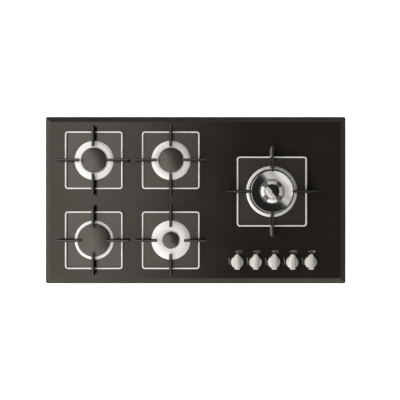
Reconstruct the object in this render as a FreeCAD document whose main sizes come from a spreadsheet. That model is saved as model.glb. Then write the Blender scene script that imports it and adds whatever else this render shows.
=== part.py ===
import FreeCAD, Part
import math
import os
import re
import Sketcher
from FreeCAD import Placement, Rotation, Vector

# A built-in gas cooktop: bevelled black glass, four standard burners, one wok burner and
# five knobs in front of it. Millimetres, +Z up, +X to the right, the user stands at -Y.
# The origin is the middle of the glass, on the plane of the worktop that it rests on.

doc = FreeCAD.newDocument("GasCooktop")
sheet = doc.addObject("Spreadsheet::Sheet", "Sizes")

# The driving dimensions, and the sizes and heights that follow from them by a formula
sizes = {
    # The glass, and the seal that lies between it and the worktop
    "glass_length": 900,
    "glass_depth": 500,
    "glass_thickness": 8,
    "bevel_width": 15.5,
    "bevel_drop": 3.5,
    "glass_corner": 6,
    "seal_thickness": 2,
    "seal_width": 9,
    "seal_inset": 2,
    "glass_under": "=seal_thickness",
    "glass_top": "=glass_under + glass_thickness",

    # How far the outline of a cut runs past the face that it opens
    "overrun": 1,

    # Where the burners and the knobs stand
    "left_column": -304,
    "middle_column": -74,
    "rear_row": 119.5,
    "front_row": -119.5,
    "wok_across": 228,
    "wok_along": 26,
    "knob_left": 124,
    "knob_pitch": 55,
    "knob_row": -185,
    "knob_count": 5,

    # The base pan, with a notch at its right rear corner for the gas inlet
    "pan_length": 850,
    "pan_depth": 462,
    "pan_height": 48,
    "pan_sheet": 1,
    "pan_flange": 6,
    "pan_corner": 10,
    "notch_length": 70,
    "notch_depth": 56,
    "notch_side": "=pan_length / 2 - notch_length",
    "notch_front": "=pan_depth / 2 - notch_depth",
    "pan_under": "=glass_under - pan_height",
    "pan_floor": "=pan_under + pan_sheet",

    # The trays inside the square frames, and the bright rings on them
    "tray_sheet": 1,
    "tray_gap": 1.25,
    "trim_radius": 58.5,
    "trim_thickness": 1.5,
    "trim_chamfer": 0.3,
    "wok_trim_radius": 76.3,
    "tray_top": "=glass_top + tray_sheet",
    "cup_top": "=tray_top + trim_thickness",

    # Cap radii, one for each kind of burner, and what follows from them
    "auxiliary_cap": 25,
    "semi_cap": 37.5,
    "rapid_cap": 49,
    "wok_cap": 64,
    "cap_overhang": 3,
    "wok_overhang": 0.5,
    "trim_gap": 0.8,
    "wok_trim_gap": 3.5,
    "auxiliary_crown": "=auxiliary_cap - cap_overhang",
    "semi_crown": "=semi_cap - cap_overhang",
    "rapid_crown": "=rapid_cap - cap_overhang",
    "wok_crown": "=wok_cap - wok_overhang",
    "auxiliary_hole": "=auxiliary_cap - trim_gap",
    "semi_hole": "=semi_cap - trim_gap",
    "rapid_hole": "=rapid_cap - trim_gap",
    "wok_hole": "=wok_cap + wok_trim_gap",

    # The die-cast cup below each burner, with the boss that holds the injector
    "cup_inset": 5,
    "cup_wall": 2.5,
    "cup_floor": -16,
    "dish_gap": 0.3,
    "dish_thickness": 1.5,
    "flange_reach": 14,
    "flange_thickness": 3,
    "boss_radius": 9,
    "boss_under": -44,
    "inlet_reach": 12,
    "inlet_width": 10,
    "inlet_height": 8,
    "injector_bore": 4,
    "injector_seat": -34,
    "injector_end_gap": 0.3,
    "injector_gap": 0.05,
    "injector_collar": 1.5,
    "injector_head": 4,
    "injector_nose": 2,
    "jet_radius": 0.5,
    "gas_way": 2,
    "flange_under": "=glass_under - flange_thickness",

    # The flame spreader on the cup, and the cap on the spreader
    "crown_height": 13.5,
    "crown_wall": 8,
    "crown_floor": 3,
    "spigot_depth": 4,
    "spigot_wall": 2,
    "spigot_gap": 0.3,
    "mixer_radius": 8,
    "mixer_wall": 2.5,
    "mixer_drop": 16,
    "port_width": 1.8,
    "port_depth": 5,
    "auxiliary_ports": 18,
    "semi_ports": 28,
    "rapid_ports": 36,
    "wok_ports": 60,
    "cap_edge": 3,
    "cap_rise": 3,
    "cap_round": 1.5,
    "cap_rim_depth": 3,
    "cap_rim_wall": 2.5,
    "cap_rim_gap": 0.4,
    "crown_top": "=cup_top + crown_height",
    "floor_top": "=cup_top + crown_floor",

    # The wok burner: a dished outer ring, and an inner crown in its well
    "wok_crown_height": 21.5,
    "well_radius": 38.2,
    "well_wall": 3.3,
    "well_height": 10,
    "wok_cap_edge": 3,
    "wok_cap_inner": 37.8,
    "wok_cap_inner_edge": 3.5,
    "inner_crown": 35,
    "inner_foot": 20,
    "inner_foot_height": 6,
    "inner_flare": 3.5,
    "inner_band": 4.5,
    "inner_slope": 2,
    "inner_cap": 21.4,
    "inner_cap_gap": 0.4,
    "inner_ledge": 2.5,
    "inner_ledge_width": 3.8,
    "inner_cap_edge": 3.5,
    "inner_cap_rise": 5.5,
    "notch_width": 1.2,
    "notch_cut": 4,
    "notch_spread": 15,
    "wok_crown_top": "=cup_top + wok_crown_height",
    "well_top": "=floor_top + well_height",
    "inner_edge_top": "=floor_top + inner_foot_height + inner_flare + inner_band",
    "inner_top": "=inner_edge_top + inner_slope",
    "inner_seat": "=inner_top - inner_ledge",

    # Spark electrodes and flame sensors beside each spreader
    "probe_inset": 1.5,
    "probe_collar": 3.3,
    "probe_collar_height": 2,
    "probe_hole": 2.8,
    "probe_notch": 3.5,
    "probe_tail": 13,
    "probe_below_ports": 5,
    "spark_radius": 2.5,
    "spark_tip_radius": 1.1,
    "spark_tip": 3.5,
    "sensor_radius": 2,
    "sensor_tip_radius": 1.5,
    "sensor_tip": 3,
    "spark_angle": 150,
    "sensor_angle": 210,

    # Pan supports: a square steel frame and four enamelled fingers
    "frame_span": 168,
    "wok_frame_span": 205,
    "frame_bar": 4,
    "frame_height": 8,
    "frame_corner": 9,
    "frame_lift": 4,
    "frame_round": 0.6,
    "support_height": 45,
    "finger_inner": 39.5,
    "finger_outer": 105,
    "wok_finger_inner": 57,
    "wok_finger_outer": 134.5,
    "finger_lean": 8,
    "finger_top_width": 4,
    "finger_base_width": 8,
    "finger_tip_height": 10,
    "wok_finger_tip_height": 9,
    "finger_leg": 18,
    "finger_reach_in": 14,
    "wok_finger_reach_in": 9,
    "finger_notch_gap": 0.1,
    "foot_thickness": 3,
    "foot_radius": 3.5,
    "foot_peg_radius": 2,
    "foot_peg_height": 5,
    "foot_peg_gap": 0.05,
    "foot_inset": 7,
    "support_top": "=glass_top + support_height",
    "finger_base": "=glass_top + foot_thickness",
    "frame_under": "=glass_top + frame_lift",
    "frame_top": "=frame_under + frame_height",

    # Knobs
    "knob_travel": 3.5,
    "knob_clearance": 1,
    "knob_lift": "=knob_travel + knob_clearance",
    "skirt_radius": 19.2,
    "skirt_height": 9,
    "skirt_slope": 1.2,
    "skirt_wall": 2,
    "hub_radius": 7,
    "knob_cavity": 6,
    "grip_width": 16,
    "grip_end_width": 15,
    "grip_tip_width": 7,
    "grip_front": 21,
    "grip_rear": 25,
    "grip_taper": 6,
    "grip_height": 13,
    "grip_round": 1.2,
    "spindle_radius": 4,
    "spindle_gap": 0.05,
    "spindle_flat": 2.8,
    "spindle_flat_length": 14,
    "knob_crown": 4,
    "key_half_width": 3.6,
    "key_gap": 1,
    "knob_under": "=glass_top + knob_lift",
    "skirt_top": "=knob_under + skirt_height",
    "knob_top": "=skirt_top + grip_height",
    "knob_bore_top": "=knob_top - knob_crown",
    "shaft_hole": 6,

    # Gas taps below the knobs, and the manifold behind them
    "tap_radius": 12,
    "tap_under": -44,
    "tap_shoulder": -13,
    "bonnet_radius": 8.5,
    "bonnet_top": -5,
    "plug_top": -14,
    "plug_under": -33,
    "plug_top_radius": 7.5,
    "plug_under_radius": 6,
    "plug_gap": 0.05,
    "plug_end_gap": 0.3,
    "plug_wall": 1.7,
    "spindle_under": -26,
    "manifold_radius": 8,
    "manifold_wall": 1.5,
    "manifold_height": -24,
    "manifold_behind": 27,
    "manifold_left": 26,
    "manifold_bend": 25,
    "seat_width": 12,
    "seat_depth": 3,
    "seat_hole": 3,
    "tap_outlet": -39.5,
    "tap_outlet_reach": 14,
    "manifold_line": "=knob_row + manifold_behind",

    # Feed tubes to the burners: each runs back, left, back and left again at one height
    "feed_radius": 3,
    "feed_wall": 1,
    "feed_bend": 12,
    "left_front_lane": -145,
    "left_rear_lane": -95,
    "middle_rear_lane": -70,
    "left_front_riser": -250,
    "left_rear_riser": -228,
    "middle_rear_riser": 0,

    # Gas inlet elbow in the pan's notch, and the mains cable's gland beside it
    "elbow_side_inset": 26,
    "elbow_rear_inset": 27,
    "elbow_inner_reach": 10,
    "elbow_radius": 9,
    "elbow_under": "=pan_under",
    "thread_radius": 10.48,
    "thread_length": 12.5,
    "elbow_bore": 6,
    "thread_bore": 5,
    "elbow_wall": 1.5,
    "elbow_nut": 14,
    "elbow_nut_depth": 4,
    "elbow_hole_gap": 0.5,
    "elbow_corner": "=pan_depth / 2 - elbow_rear_inset",
    "manifold_side": "=pan_length / 2 - elbow_side_inset",
    "manifold_rear": "=notch_front - elbow_inner_reach",
    "gland_inset": 19,
    "gland_radius": 6,
    "gland_flange": 8.5,
    "gland_flange_thickness": 2,
    "gland_reach": 10,
    "gland_tail": 8,
    "gland_bore": 4,
    "gland_hole_gap": 0.2,
    "gland_across": "=notch_side + gland_inset",

    # Steel rails that carry the cups, clamp brackets, screws and the ignition module
    "rail_width": 136,
    "wok_rail_width": 168,
    "rail_sheet": 1.5,
    "rail_lip": 10,
    "rail_hole_reach": 5,
    "screw_reach": 10,
    "screw_hole": 2.1,
    "screw_radius": 1.9,
    "screw_gap": 0.1,
    "screw_head": 3.5,
    "screw_head_height": 2,
    "screw_grip": 2,
    "bracket_inset": 81,
    "bracket_width": 20,
    "bracket_sheet": 1.5,
    "bracket_reach": 22,
    "bracket_leg": 18,
    "bracket_under": -42,
    "bracket_hole": 2.5,
    "bracket_screw_rise": 11,
    "bracket_screw_radius": 2.3,
    "bracket_screw_head": 4.2,
    "bracket_screw_head_height": 2.5,
    "bracket_screw_length": 8,
    "bracket_along": "=pan_depth / 2 - bracket_inset",
    "module_across": 90,
    "module_along": 150,
    "module_length": 60,
    "module_width": 40,
    "module_height": 22,
    "module_round": 2,
    "terminal_radius": 2.2,
    "terminal_length": 6,
    "terminal_pitch": 9,
    "terminal_count": 6,
}
for row, (alias, content) in enumerate(sizes.items(), 1):
    sheet.set("A%d" % row, alias)
    sheet.set("B%d" % row, str(content))
    sheet.setAlias("B%d" % row, alias)
doc.recompute()


# How near an edge lies to the height or the place that it is picked by
nearness = 1e-3


def value(expression):
    """The number that an expression of the sheet's aliases has now."""
    return float(sheet.evalExpression(expression))


def bound(expression):
    """The same expression as another object has to write it."""
    return re.sub(
        r"[a-z]\w*", lambda found: ("Sizes." if found[0] in sizes else "") + found[0], expression
    )


def tie(thing, field, expression):
    """Binds one property to an expression of the sheet's aliases."""
    thing.setExpression(field, bound(str(expression)))


def new_body(label, across="0", along="0", turn=None):
    """An empty body whose own axis stands at (across, along)."""
    body = doc.addObject("PartDesign::Body", label)
    body.Label = label
    if turn is not None:
        body.Placement = Placement(Vector(), Rotation(Vector(0, 0, 1), turn))
    tie(body, "Placement.Base.x", across)
    tie(body, "Placement.Base.y", along)
    return body


def origin_part(body, role):
    return next(feature for feature in body.Origin.OriginFeatures if feature.Role == role)


def new_sketch(body, plane, offset="0", turn=0):
    """A sketch on one of the body's own planes, moved along its normal and turned."""
    sketch = body.newObject("Sketcher::SketchObject", body.Label + "_sketch")
    sketch.AttachmentSupport = [(origin_part(body, plane), "")]
    sketch.MapMode = "FlatFace"
    sketch.AttachmentOffset = Placement(Vector(), Rotation(Vector(0, 0, 1), turn))
    tie(sketch, "AttachmentOffset.Base.z", offset)
    return sketch


def fix_distance(sketch, geometry, end, spot, along_x):
    """Ties one coordinate of a point of the sketch, measured from its origin."""
    kind, place = ("DistanceX", spot[0]) if along_x else ("DistanceY", spot[1])
    rule = Sketcher.Constraint(kind, -1, 1, geometry, end, value(place))
    tie(sketch, "Constraints[%d]" % sketch.addConstraint(rule), place)


def fix_point(sketch, geometry, end, x, y):
    for along_x in (True, False):
        fix_distance(sketch, geometry, end, (x, y), along_x)


def fix_radius(sketch, geometry, radius):
    rule = Sketcher.Constraint("Radius", geometry, value(radius))
    tie(sketch, "Constraints[%d]" % sketch.addConstraint(rule), radius)


def circle(sketch, x, y, radius):
    disc = Part.Circle(Vector(value(x), value(y), 0), Vector(0, 0, 1), value(radius))
    geometry = sketch.addGeometry(disc, False)
    fix_point(sketch, geometry, 3, x, y)
    fix_radius(sketch, geometry, radius)


def dome_arc(start, end, radius):
    """An arc that bulges upwards, and which of its ends is its start."""
    middle = (start + end) * 0.5
    chord = end - start
    across = Vector(-chord.y, chord.x, 0).normalize()
    if across.y > 0:
        across = across * -1
    centre = middle + across * math.sqrt(radius ** 2 - (chord.Length / 2) ** 2)
    angles = [math.atan2(spot.y - centre.y, spot.x - centre.x) for spot in (start, end)]
    disc = Part.Circle(centre, Vector(0, 0, 1), radius)
    return Part.ArcOfCircle(disc, min(angles), max(angles)), angles[0] < angles[1]


def outline(sketch, points):
    """A closed outline. A point with a third entry starts an arc of that radius."""
    spots = [Vector(value(point[0]), value(point[1]), 0) for point in points]
    ends = []
    for index, point in enumerate(points):
        start, end = spots[index], spots[(index + 1) % len(spots)]
        first = True
        if len(point) == 3:
            edge, first = dome_arc(start, end, value(point[2]))
        else:
            edge = Part.LineSegment(start, end)
        geometry = sketch.addGeometry(edge, False)
        ends.append((geometry, 1 if first else 2, 2 if first else 1))
        if len(point) == 3:
            fix_radius(sketch, geometry, point[2])
    for index, (geometry, start, _) in enumerate(ends):
        before, _, tail = ends[index - 1]
        sketch.addConstraint(Sketcher.Constraint("Coincident", before, tail, geometry, start))
        fix_point(sketch, geometry, start, points[index][0], points[index][1])
    return sketch


def rectangle(sketch, left, right, low, high):
    return outline(sketch, [(left, low), (right, low), (right, high), (left, high)])


def square(sketch, half):
    return rectangle(sketch, "-(%s)" % half, half, "-(%s)" % half, half)


def feature(body, kind, sketch, length=None, **options):
    """A pad, pocket, revolution or groove of the sketch. No length means all the way."""
    made = body.newObject("PartDesign::" + kind, body.Label + "_" + kind.lower())
    made.Profile = sketch
    if kind in ("Revolution", "Groove"):
        made.ReferenceAxis = (sketch, ["V_Axis"])
        made.Angle = 360
    elif length is None:
        made.Type = "ThroughAll"
        made.Midplane = True
    else:
        tie(made, "Length", length)
    for name, setting in options.items():
        setattr(made, name, setting)
    doc.recompute()
    return made


def turned(label, points, across="0", along="0"):
    """A body made by turning a half section of radii and heights round its axis."""
    body = new_body(label, across, along)
    feature(body, "Revolution", outline(new_sketch(body, "XZ_Plane"), points))
    return body


def soften(body, kind, amount, chosen, drop=None):
    """Rounds or chamfers the edges that the test picks. A bevel has a drop of its own."""
    base = body.Tip
    names = [
        "Edge%d" % (index + 1)
        for index, edge in enumerate(base.Shape.Edges)
        if chosen(edge)
    ]
    made = body.newObject("PartDesign::" + kind, body.Label + "_" + kind.lower())
    made.Base = (base, names)
    tie(made, "Radius" if kind == "Fillet" else "Size", amount)
    if drop:
        made.ChamferType = "Two distances"
        made.FlipDirection = True
        tie(made, "Size2", drop)
    doc.recompute()
    return made


def upright(edge):
    ends = [vertex.Point for vertex in edge.Vertexes]
    return len(ends) == 2 and abs(ends[0].z - ends[1].z) > 0.99 * edge.Length


def at_height(height):
    level = value(height)
    return lambda edge: abs(edge.BoundBox.ZMin - level) + abs(edge.BoundBox.ZMax - level) < nearness


def around(body, count, *originals):
    """Repeats features, or the whole shape when none is named, round the body's axis."""
    made = body.newObject("PartDesign::PolarPattern", body.Label + "_around")
    made.Axis = (origin_part(body, "Z_Axis"), [""])
    if originals:
        made.Originals = list(originals)
    else:
        made.TransformMode = "Whole shape"
    made.Angle = 360
    tie(made, "Occurrences", count)
    body.Tip = made
    doc.recompute()


def along_row(body):
    """Repeats the whole shape once for each knob of the row."""
    made = body.newObject("PartDesign::LinearPattern", body.Label + "_row")
    made.Direction = (origin_part(body, "X_Axis"), [""])
    made.TransformMode = "Whole shape"
    tie(made, "Length", "(knob_count - 1) * knob_pitch")
    tie(made, "Occurrences", "knob_count")
    body.Tip = made
    doc.recompute()


nodes = {}


def keep(name, thing):
    """Makes a body, or a group of bodies, one named piece of the cooktop."""
    if isinstance(thing, list):
        group = doc.addObject("Part::Compound", name)
        group.Links = thing
        thing = group
    thing.Label = name
    nodes[name] = thing


# Each burner: its name, its kind and the sizes that give its place
burners = [
    ("left_rear", "semi", "left_column", "rear_row"),
    ("left_front", "rapid", "left_column", "front_row"),
    ("middle_rear", "semi", "middle_column", "rear_row"),
    ("middle_front", "auxiliary", "middle_column", "front_row"),
    ("wok", "wok", "wok_across", "wok_along"),
]
knobs = ["knob_left + %d * knob_pitch" % index for index in range(int(value("knob_count")))]


def glass_top():
    body = new_body("glass_top")
    sketch = rectangle(
        new_sketch(body, "XY_Plane", "glass_under"),
        "-glass_length / 2", "glass_length / 2", "-glass_depth / 2", "glass_depth / 2",
    )
    feature(body, "Pad", sketch, "glass_thickness")
    soften(body, "Chamfer", "bevel_width", at_height("glass_top"), "bevel_drop")
    soften(body, "Fillet", "glass_corner", upright)
    holes = new_sketch(body, "XY_Plane", "glass_under")
    for _, kind, across, along in burners:
        circle(holes, across, along, kind + "_hole")
    for across in knobs:
        circle(holes, across, "knob_row", "shaft_hole")
    feature(body, "Pocket", holes)
    return body


def worktop_seal():
    body = new_body("worktop_seal")
    sketch = new_sketch(body, "XY_Plane")
    for inset in ("seal_inset", "seal_inset + seal_width"):
        across = "(glass_length / 2 - (%s))" % inset
        along = "(glass_depth / 2 - (%s))" % inset
        rectangle(sketch, "-" + across, across, "-" + along, along)
    feature(body, "Pad", sketch, "seal_thickness")
    return body


def pan_outline(sketch, grow):
    """The pan's outline, moved outwards by grow, with the notch at the right rear."""
    right = "(pan_length / 2 + (%s))" % grow
    rear = "(pan_depth / 2 + (%s))" % grow
    side = "(notch_side + (%s))" % grow
    front = "(notch_front + (%s))" % grow
    return outline(sketch, [
        ("-" + right, "-" + rear),
        (right, "-" + rear),
        (right, front),
        (side, front),
        (side, rear),
        ("-" + right, rear),
    ])


def base_pan():
    body = new_body("base_pan")
    feature(body, "Pad", pan_outline(new_sketch(body, "XY_Plane", "pan_under"), "0"), "pan_height")
    soften(body, "Fillet", "pan_corner", upright)
    rim = new_sketch(body, "XY_Plane", "glass_under - pan_sheet")
    pan_outline(rim, "pan_flange")
    feature(body, "Pad", rim, "pan_sheet")
    inside = new_sketch(body, "XY_Plane", "glass_under")
    feature(body, "Pocket", pan_outline(inside, "-pan_sheet"), "pan_height - pan_sheet")

    inlets = new_sketch(body, "XZ_Plane", "-notch_front")
    circle(inlets, "manifold_side", "manifold_height", "elbow_radius + elbow_hole_gap")
    circle(inlets, "gland_across", "manifold_height", "gland_radius + gland_hole_gap")
    feature(body, "Pocket", inlets, "pan_sheet * 2", Midplane=True)
    bracket_holes = new_sketch(body, "YZ_Plane")
    for along in ("-bracket_along", "bracket_along"):
        circle(bracket_holes, along, "bracket_under + bracket_screw_rise", "bracket_hole")
    feature(body, "Pocket", bracket_holes)
    return body


def tray(name, kind, across, along):
    """A thin enamelled plate that fills a pan support's frame and lies on the glass."""
    span = "wok_frame_span" if kind == "wok" else "frame_span"
    body = new_body(name + "_tray", across, along)
    sketch = new_sketch(body, "XY_Plane", "glass_top")
    square(sketch, "(%s - frame_bar) / 2 - tray_gap" % span)
    circle(sketch, "0", "0", kind + "_hole")
    feature(body, "Pad", sketch, "tray_sheet")
    soften(body, "Fillet", "frame_corner - frame_bar - tray_gap / 2", upright)
    return body


def trim_ring(name, kind, across, along):
    """The flat bright ring round a burner."""
    rim = "wok_trim_radius" if kind == "wok" else "trim_radius"
    return turned(name + "_trim", [
        (kind + "_hole", "tray_top"),
        (rim, "tray_top"),
        (rim, "cup_top - trim_chamfer"),
        (rim + " - trim_chamfer", "cup_top"),
        (kind + "_hole", "cup_top"),
    ], across, along)


def cup(name, kind, across, along):
    """The cast cup: a dish level with the bright ring, a flange under the glass, a boss."""
    shell = "(%s_crown - cup_inset)" % kind
    dish = "(%s_hole - dish_gap)" % kind
    flange = "(%s_crown + flange_reach)" % kind
    body = turned(name + "_cup", [
        ("0", "boss_under"),
        ("boss_radius", "boss_under"),
        ("boss_radius", "cup_floor"),
        (shell, "cup_floor"),
        (shell, "flange_under"),
        (flange, "flange_under"),
        (flange, "glass_under"),
        (shell, "glass_under"),
        (shell, "cup_top - dish_thickness"),
        (dish, "cup_top - dish_thickness"),
        (dish, "cup_top"),
        ("0", "cup_top"),
    ], across, along)
    inlet = new_sketch(body, "YZ_Plane")
    rectangle(
        inlet, "-inlet_width / 2", "inlet_width / 2",
        "tap_outlet - inlet_height / 2", "tap_outlet + inlet_height / 2",
    )
    feature(body, "Pad", inlet, "inlet_reach")
    hollow = outline(new_sketch(body, "XZ_Plane"), [
        ("0", "tap_outlet - gas_way"),
        ("gas_way", "tap_outlet - gas_way"),
        ("gas_way", "injector_seat"),
        ("injector_bore", "injector_seat"),
        ("injector_bore", "cup_floor + cup_wall"),
        (shell + " - cup_wall", "cup_floor + cup_wall"),
        (shell + " - cup_wall", "cup_top + overrun"),
        ("0", "cup_top + overrun"),
    ])
    feature(body, "Groove", hollow)
    gas_hole = new_sketch(body, "YZ_Plane", "inlet_reach")
    circle(gas_hole, "0", "tap_outlet", "gas_way")
    feature(body, "Pocket", gas_hole, "inlet_reach")
    probes = new_sketch(body, "XY_Plane")
    for angle in ("spark_angle", "sensor_angle"):
        place = "(%s_crown - probe_inset) * %s(%s)"
        circle(probes, place % (kind, "cos", angle), place % (kind, "sin", angle), "probe_hole")
    for side in ("-", ""):
        circle(probes, "%s(%s_crown + screw_reach)" % (side, kind), "0", "screw_radius + screw_gap")
    feature(body, "Pocket", probes)
    return body


def cut_ports(body, kind, top):
    """Cuts the gas ports, open at the top, through the crown's wall all the way round."""
    sketch = new_sketch(body, "XY_Plane", top)
    rectangle(
        sketch, "%s_crown - crown_wall - overrun" % kind, "%s_crown + overrun" % kind,
        "-port_width / 2", "port_width / 2",
    )
    ports = feature(body, "Pocket", sketch, "port_depth")
    around(body, kind + "_ports", ports)


def cut_probe_notches(body, kind):
    """Two upright notches in the crown, where the electrode and the sensor stand."""
    sketch = new_sketch(body, "XY_Plane")
    for angle in ("spark_angle", "sensor_angle"):
        place = "(%s_crown - probe_inset) * %s(%s)"
        circle(sketch, place % (kind, "cos", angle), place % (kind, "sin", angle), "probe_notch")
    feature(body, "Pocket", sketch)


def spreader(name, kind, across, along):
    """The cast crown that stands on the cup and mixes and spreads the gas."""
    crown = kind + "_crown"
    spigot = "(%s - cup_inset - cup_wall - spigot_gap)" % crown
    top = "wok_crown_top" if kind == "wok" else "crown_top"
    well = [
        ("well_radius + well_wall", "floor_top"),
        ("well_radius + well_wall", "well_top"),
        ("well_radius", "well_top"),
        ("well_radius", "floor_top"),
    ]
    body = turned(name + "_flame_spreader", [
        ("mixer_radius - mixer_wall", "cup_top - mixer_drop"),
        ("mixer_radius", "cup_top - mixer_drop"),
        ("mixer_radius", "cup_top"),
        (spigot + " - spigot_wall", "cup_top"),
        (spigot + " - spigot_wall", "cup_top - spigot_depth"),
        (spigot, "cup_top - spigot_depth"),
        (spigot, "cup_top"),
        (crown, "cup_top"),
        (crown, top),
        (crown + " - crown_wall", top),
        (crown + " - crown_wall", "floor_top"),
        *(well if kind == "wok" else []),
        ("mixer_radius - mixer_wall", "floor_top"),
    ], across, along)
    cut_probe_notches(body, kind)
    cut_ports(body, kind, top)
    return body


def dome_radius(half, rise):
    return "((%s)^2 + (%s)^2) / (2 * %s)" % (half, rise, rise)


def cap(name, kind, across, along):
    """The enamelled lid of a standard burner, slightly domed."""
    lid = kind + "_cap"
    rim = "(%s_crown - crown_wall - cap_rim_gap)" % kind
    body = turned(name + "_cap", [
        ("0", "crown_top"),
        (rim + " - cap_rim_wall", "crown_top"),
        (rim + " - cap_rim_wall", "crown_top - cap_rim_depth"),
        (rim, "crown_top - cap_rim_depth"),
        (rim, "crown_top"),
        (lid, "crown_top"),
        (lid, "crown_top + cap_edge", dome_radius(lid, "cap_rise")),
        ("0", "crown_top + cap_edge + cap_rise"),
    ], across, along)
    soften(body, "Fillet", "cap_round", at_height("crown_top + cap_edge"))
    return body


def wok_ring_cap(across, along):
    """The wok burner's ring-shaped lid, dished towards the well in its middle."""
    rim = "(wok_crown - crown_wall - cap_rim_gap)"
    body = turned("wok_ring_cap", [
        ("wok_cap_inner", "well_top"),
        ("well_radius + well_wall + cap_rim_gap", "well_top"),
        (rim, "wok_crown_top - cap_rim_depth"),
        (rim, "wok_crown_top"),
        ("wok_cap", "wok_crown_top"),
        ("wok_cap", "wok_crown_top + wok_cap_edge"),
        ("wok_cap_inner", "well_top + wok_cap_inner_edge"),
    ], across, along)
    soften(body, "Fillet", "cap_round / 2", at_height("wok_crown_top + wok_cap_edge"))
    return body


def wok_inner_spreader(across, along):
    """The small crown in the wok burner's well, with four pairs of narrow ports."""
    seat_radius = "inner_cap + inner_cap_gap"
    hollow = "%s - inner_ledge_width" % seat_radius
    body = turned("wok_inner_spreader", [
        ("mixer_radius", "floor_top"),
        ("inner_foot", "floor_top"),
        ("inner_foot", "floor_top + inner_foot_height"),
        ("inner_crown", "floor_top + inner_foot_height + inner_flare"),
        ("inner_crown", "inner_edge_top"),
        (seat_radius, "inner_top"),
        (seat_radius, "inner_seat"),
        (hollow, "inner_seat"),
        (hollow, "floor_top + cup_wall"),
        ("mixer_radius", "floor_top + cup_wall"),
    ], across, along)
    for side in (-1, 1):
        turn = 45 + side * value("notch_spread")
        sketch = new_sketch(body, "XY_Plane", "inner_top", turn)
        rectangle(
            sketch, hollow + " - overrun", "inner_crown + overrun",
            "-notch_width / 2", "notch_width / 2",
        )
        notch = feature(body, "Pocket", sketch, "inner_slope + notch_cut")
        around(body, "4", notch)
    return body


def wok_inner_cap(across, along):
    """The domed lid in the middle of the wok burner."""
    rim = "(inner_cap + inner_cap_gap - inner_ledge_width - cap_rim_gap)"
    body = turned("wok_inner_cap", [
        ("0", "inner_seat"),
        (rim + " - cap_rim_wall", "inner_seat"),
        (rim + " - cap_rim_wall", "inner_seat - cap_rim_depth"),
        (rim, "inner_seat - cap_rim_depth"),
        (rim, "inner_seat"),
        ("inner_cap", "inner_seat"),
        ("inner_cap", "inner_seat + inner_cap_edge", dome_radius("inner_cap", "inner_cap_rise")),
        ("0", "inner_seat + inner_cap_edge + inner_cap_rise"),
    ], across, along)
    soften(body, "Fillet", "cap_round / 2", at_height("inner_seat + inner_cap_edge"))
    return body


def injector(name, _, across, along):
    """The brass jet that is screwed into the cup's boss."""
    body = "(injector_bore - injector_gap)"
    collar = "injector_bore + injector_collar"
    seat = "cup_floor + cup_wall"
    head = seat + " + injector_head"
    return turned(name + "_injector", [
        ("jet_radius", "injector_seat + injector_end_gap"),
        (body, "injector_seat + injector_end_gap"),
        (body, seat),
        (collar, seat),
        (collar, head),
        ("gas_way", head + " + injector_nose"),
        ("jet_radius", head + " + injector_nose"),
    ], across, along)


def probe(label, kind, across, along, sort, angle):
    """A spark electrode or a flame sensor: a rod that hangs by a collar from the flange."""
    top = "(wok_crown_top" if kind == "wok" else "(crown_top"
    shoulder = top + " - probe_below_ports - %s_tip)" % sort
    place = " + (%s_crown - probe_inset) * %s(%s)"
    return turned(label, [
        ("0", "flange_under - probe_collar_height - probe_tail"),
        (sort + "_radius", "flange_under - probe_collar_height - probe_tail"),
        (sort + "_radius", "flange_under - probe_collar_height"),
        ("probe_collar", "flange_under - probe_collar_height"),
        ("probe_collar", "flange_under"),
        (sort + "_radius", "flange_under"),
        (sort + "_radius", shoulder),
        (sort + "_tip_radius", shoulder),
        (sort + "_tip_radius", shoulder + " + %s_tip" % sort),
        ("0", shoulder + " + %s_tip" % sort),
    ], across + place % (kind, "cos", angle), along + place % (kind, "sin", angle))


def support_frame(name, kind, across, along):
    """The bright square frame that joins a pan support's fingers."""
    span = "wok_frame_span" if kind == "wok" else "frame_span"
    body = new_body(name + "_support_frame", across, along)
    sketch = new_sketch(body, "XY_Plane", "frame_under")
    square(sketch, "(%s + frame_bar) / 2" % span)
    feature(body, "Pad", sketch, "frame_height")
    soften(body, "Fillet", "frame_corner", upright)
    inside = new_sketch(body, "XY_Plane", "frame_under")
    square(inside, "(%s - frame_bar) / 2" % span)
    feature(body, "Pocket", inside)
    inner = value("(%s - frame_bar) / 2" % span)

    def inner_corner(edge):
        return upright(edge) and abs(abs(edge.BoundBox.XMin) - inner) < nearness

    soften(body, "Fillet", "frame_corner - frame_bar", inner_corner)
    soften(body, "Fillet", "frame_round", at_height("frame_top"))
    return body


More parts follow.
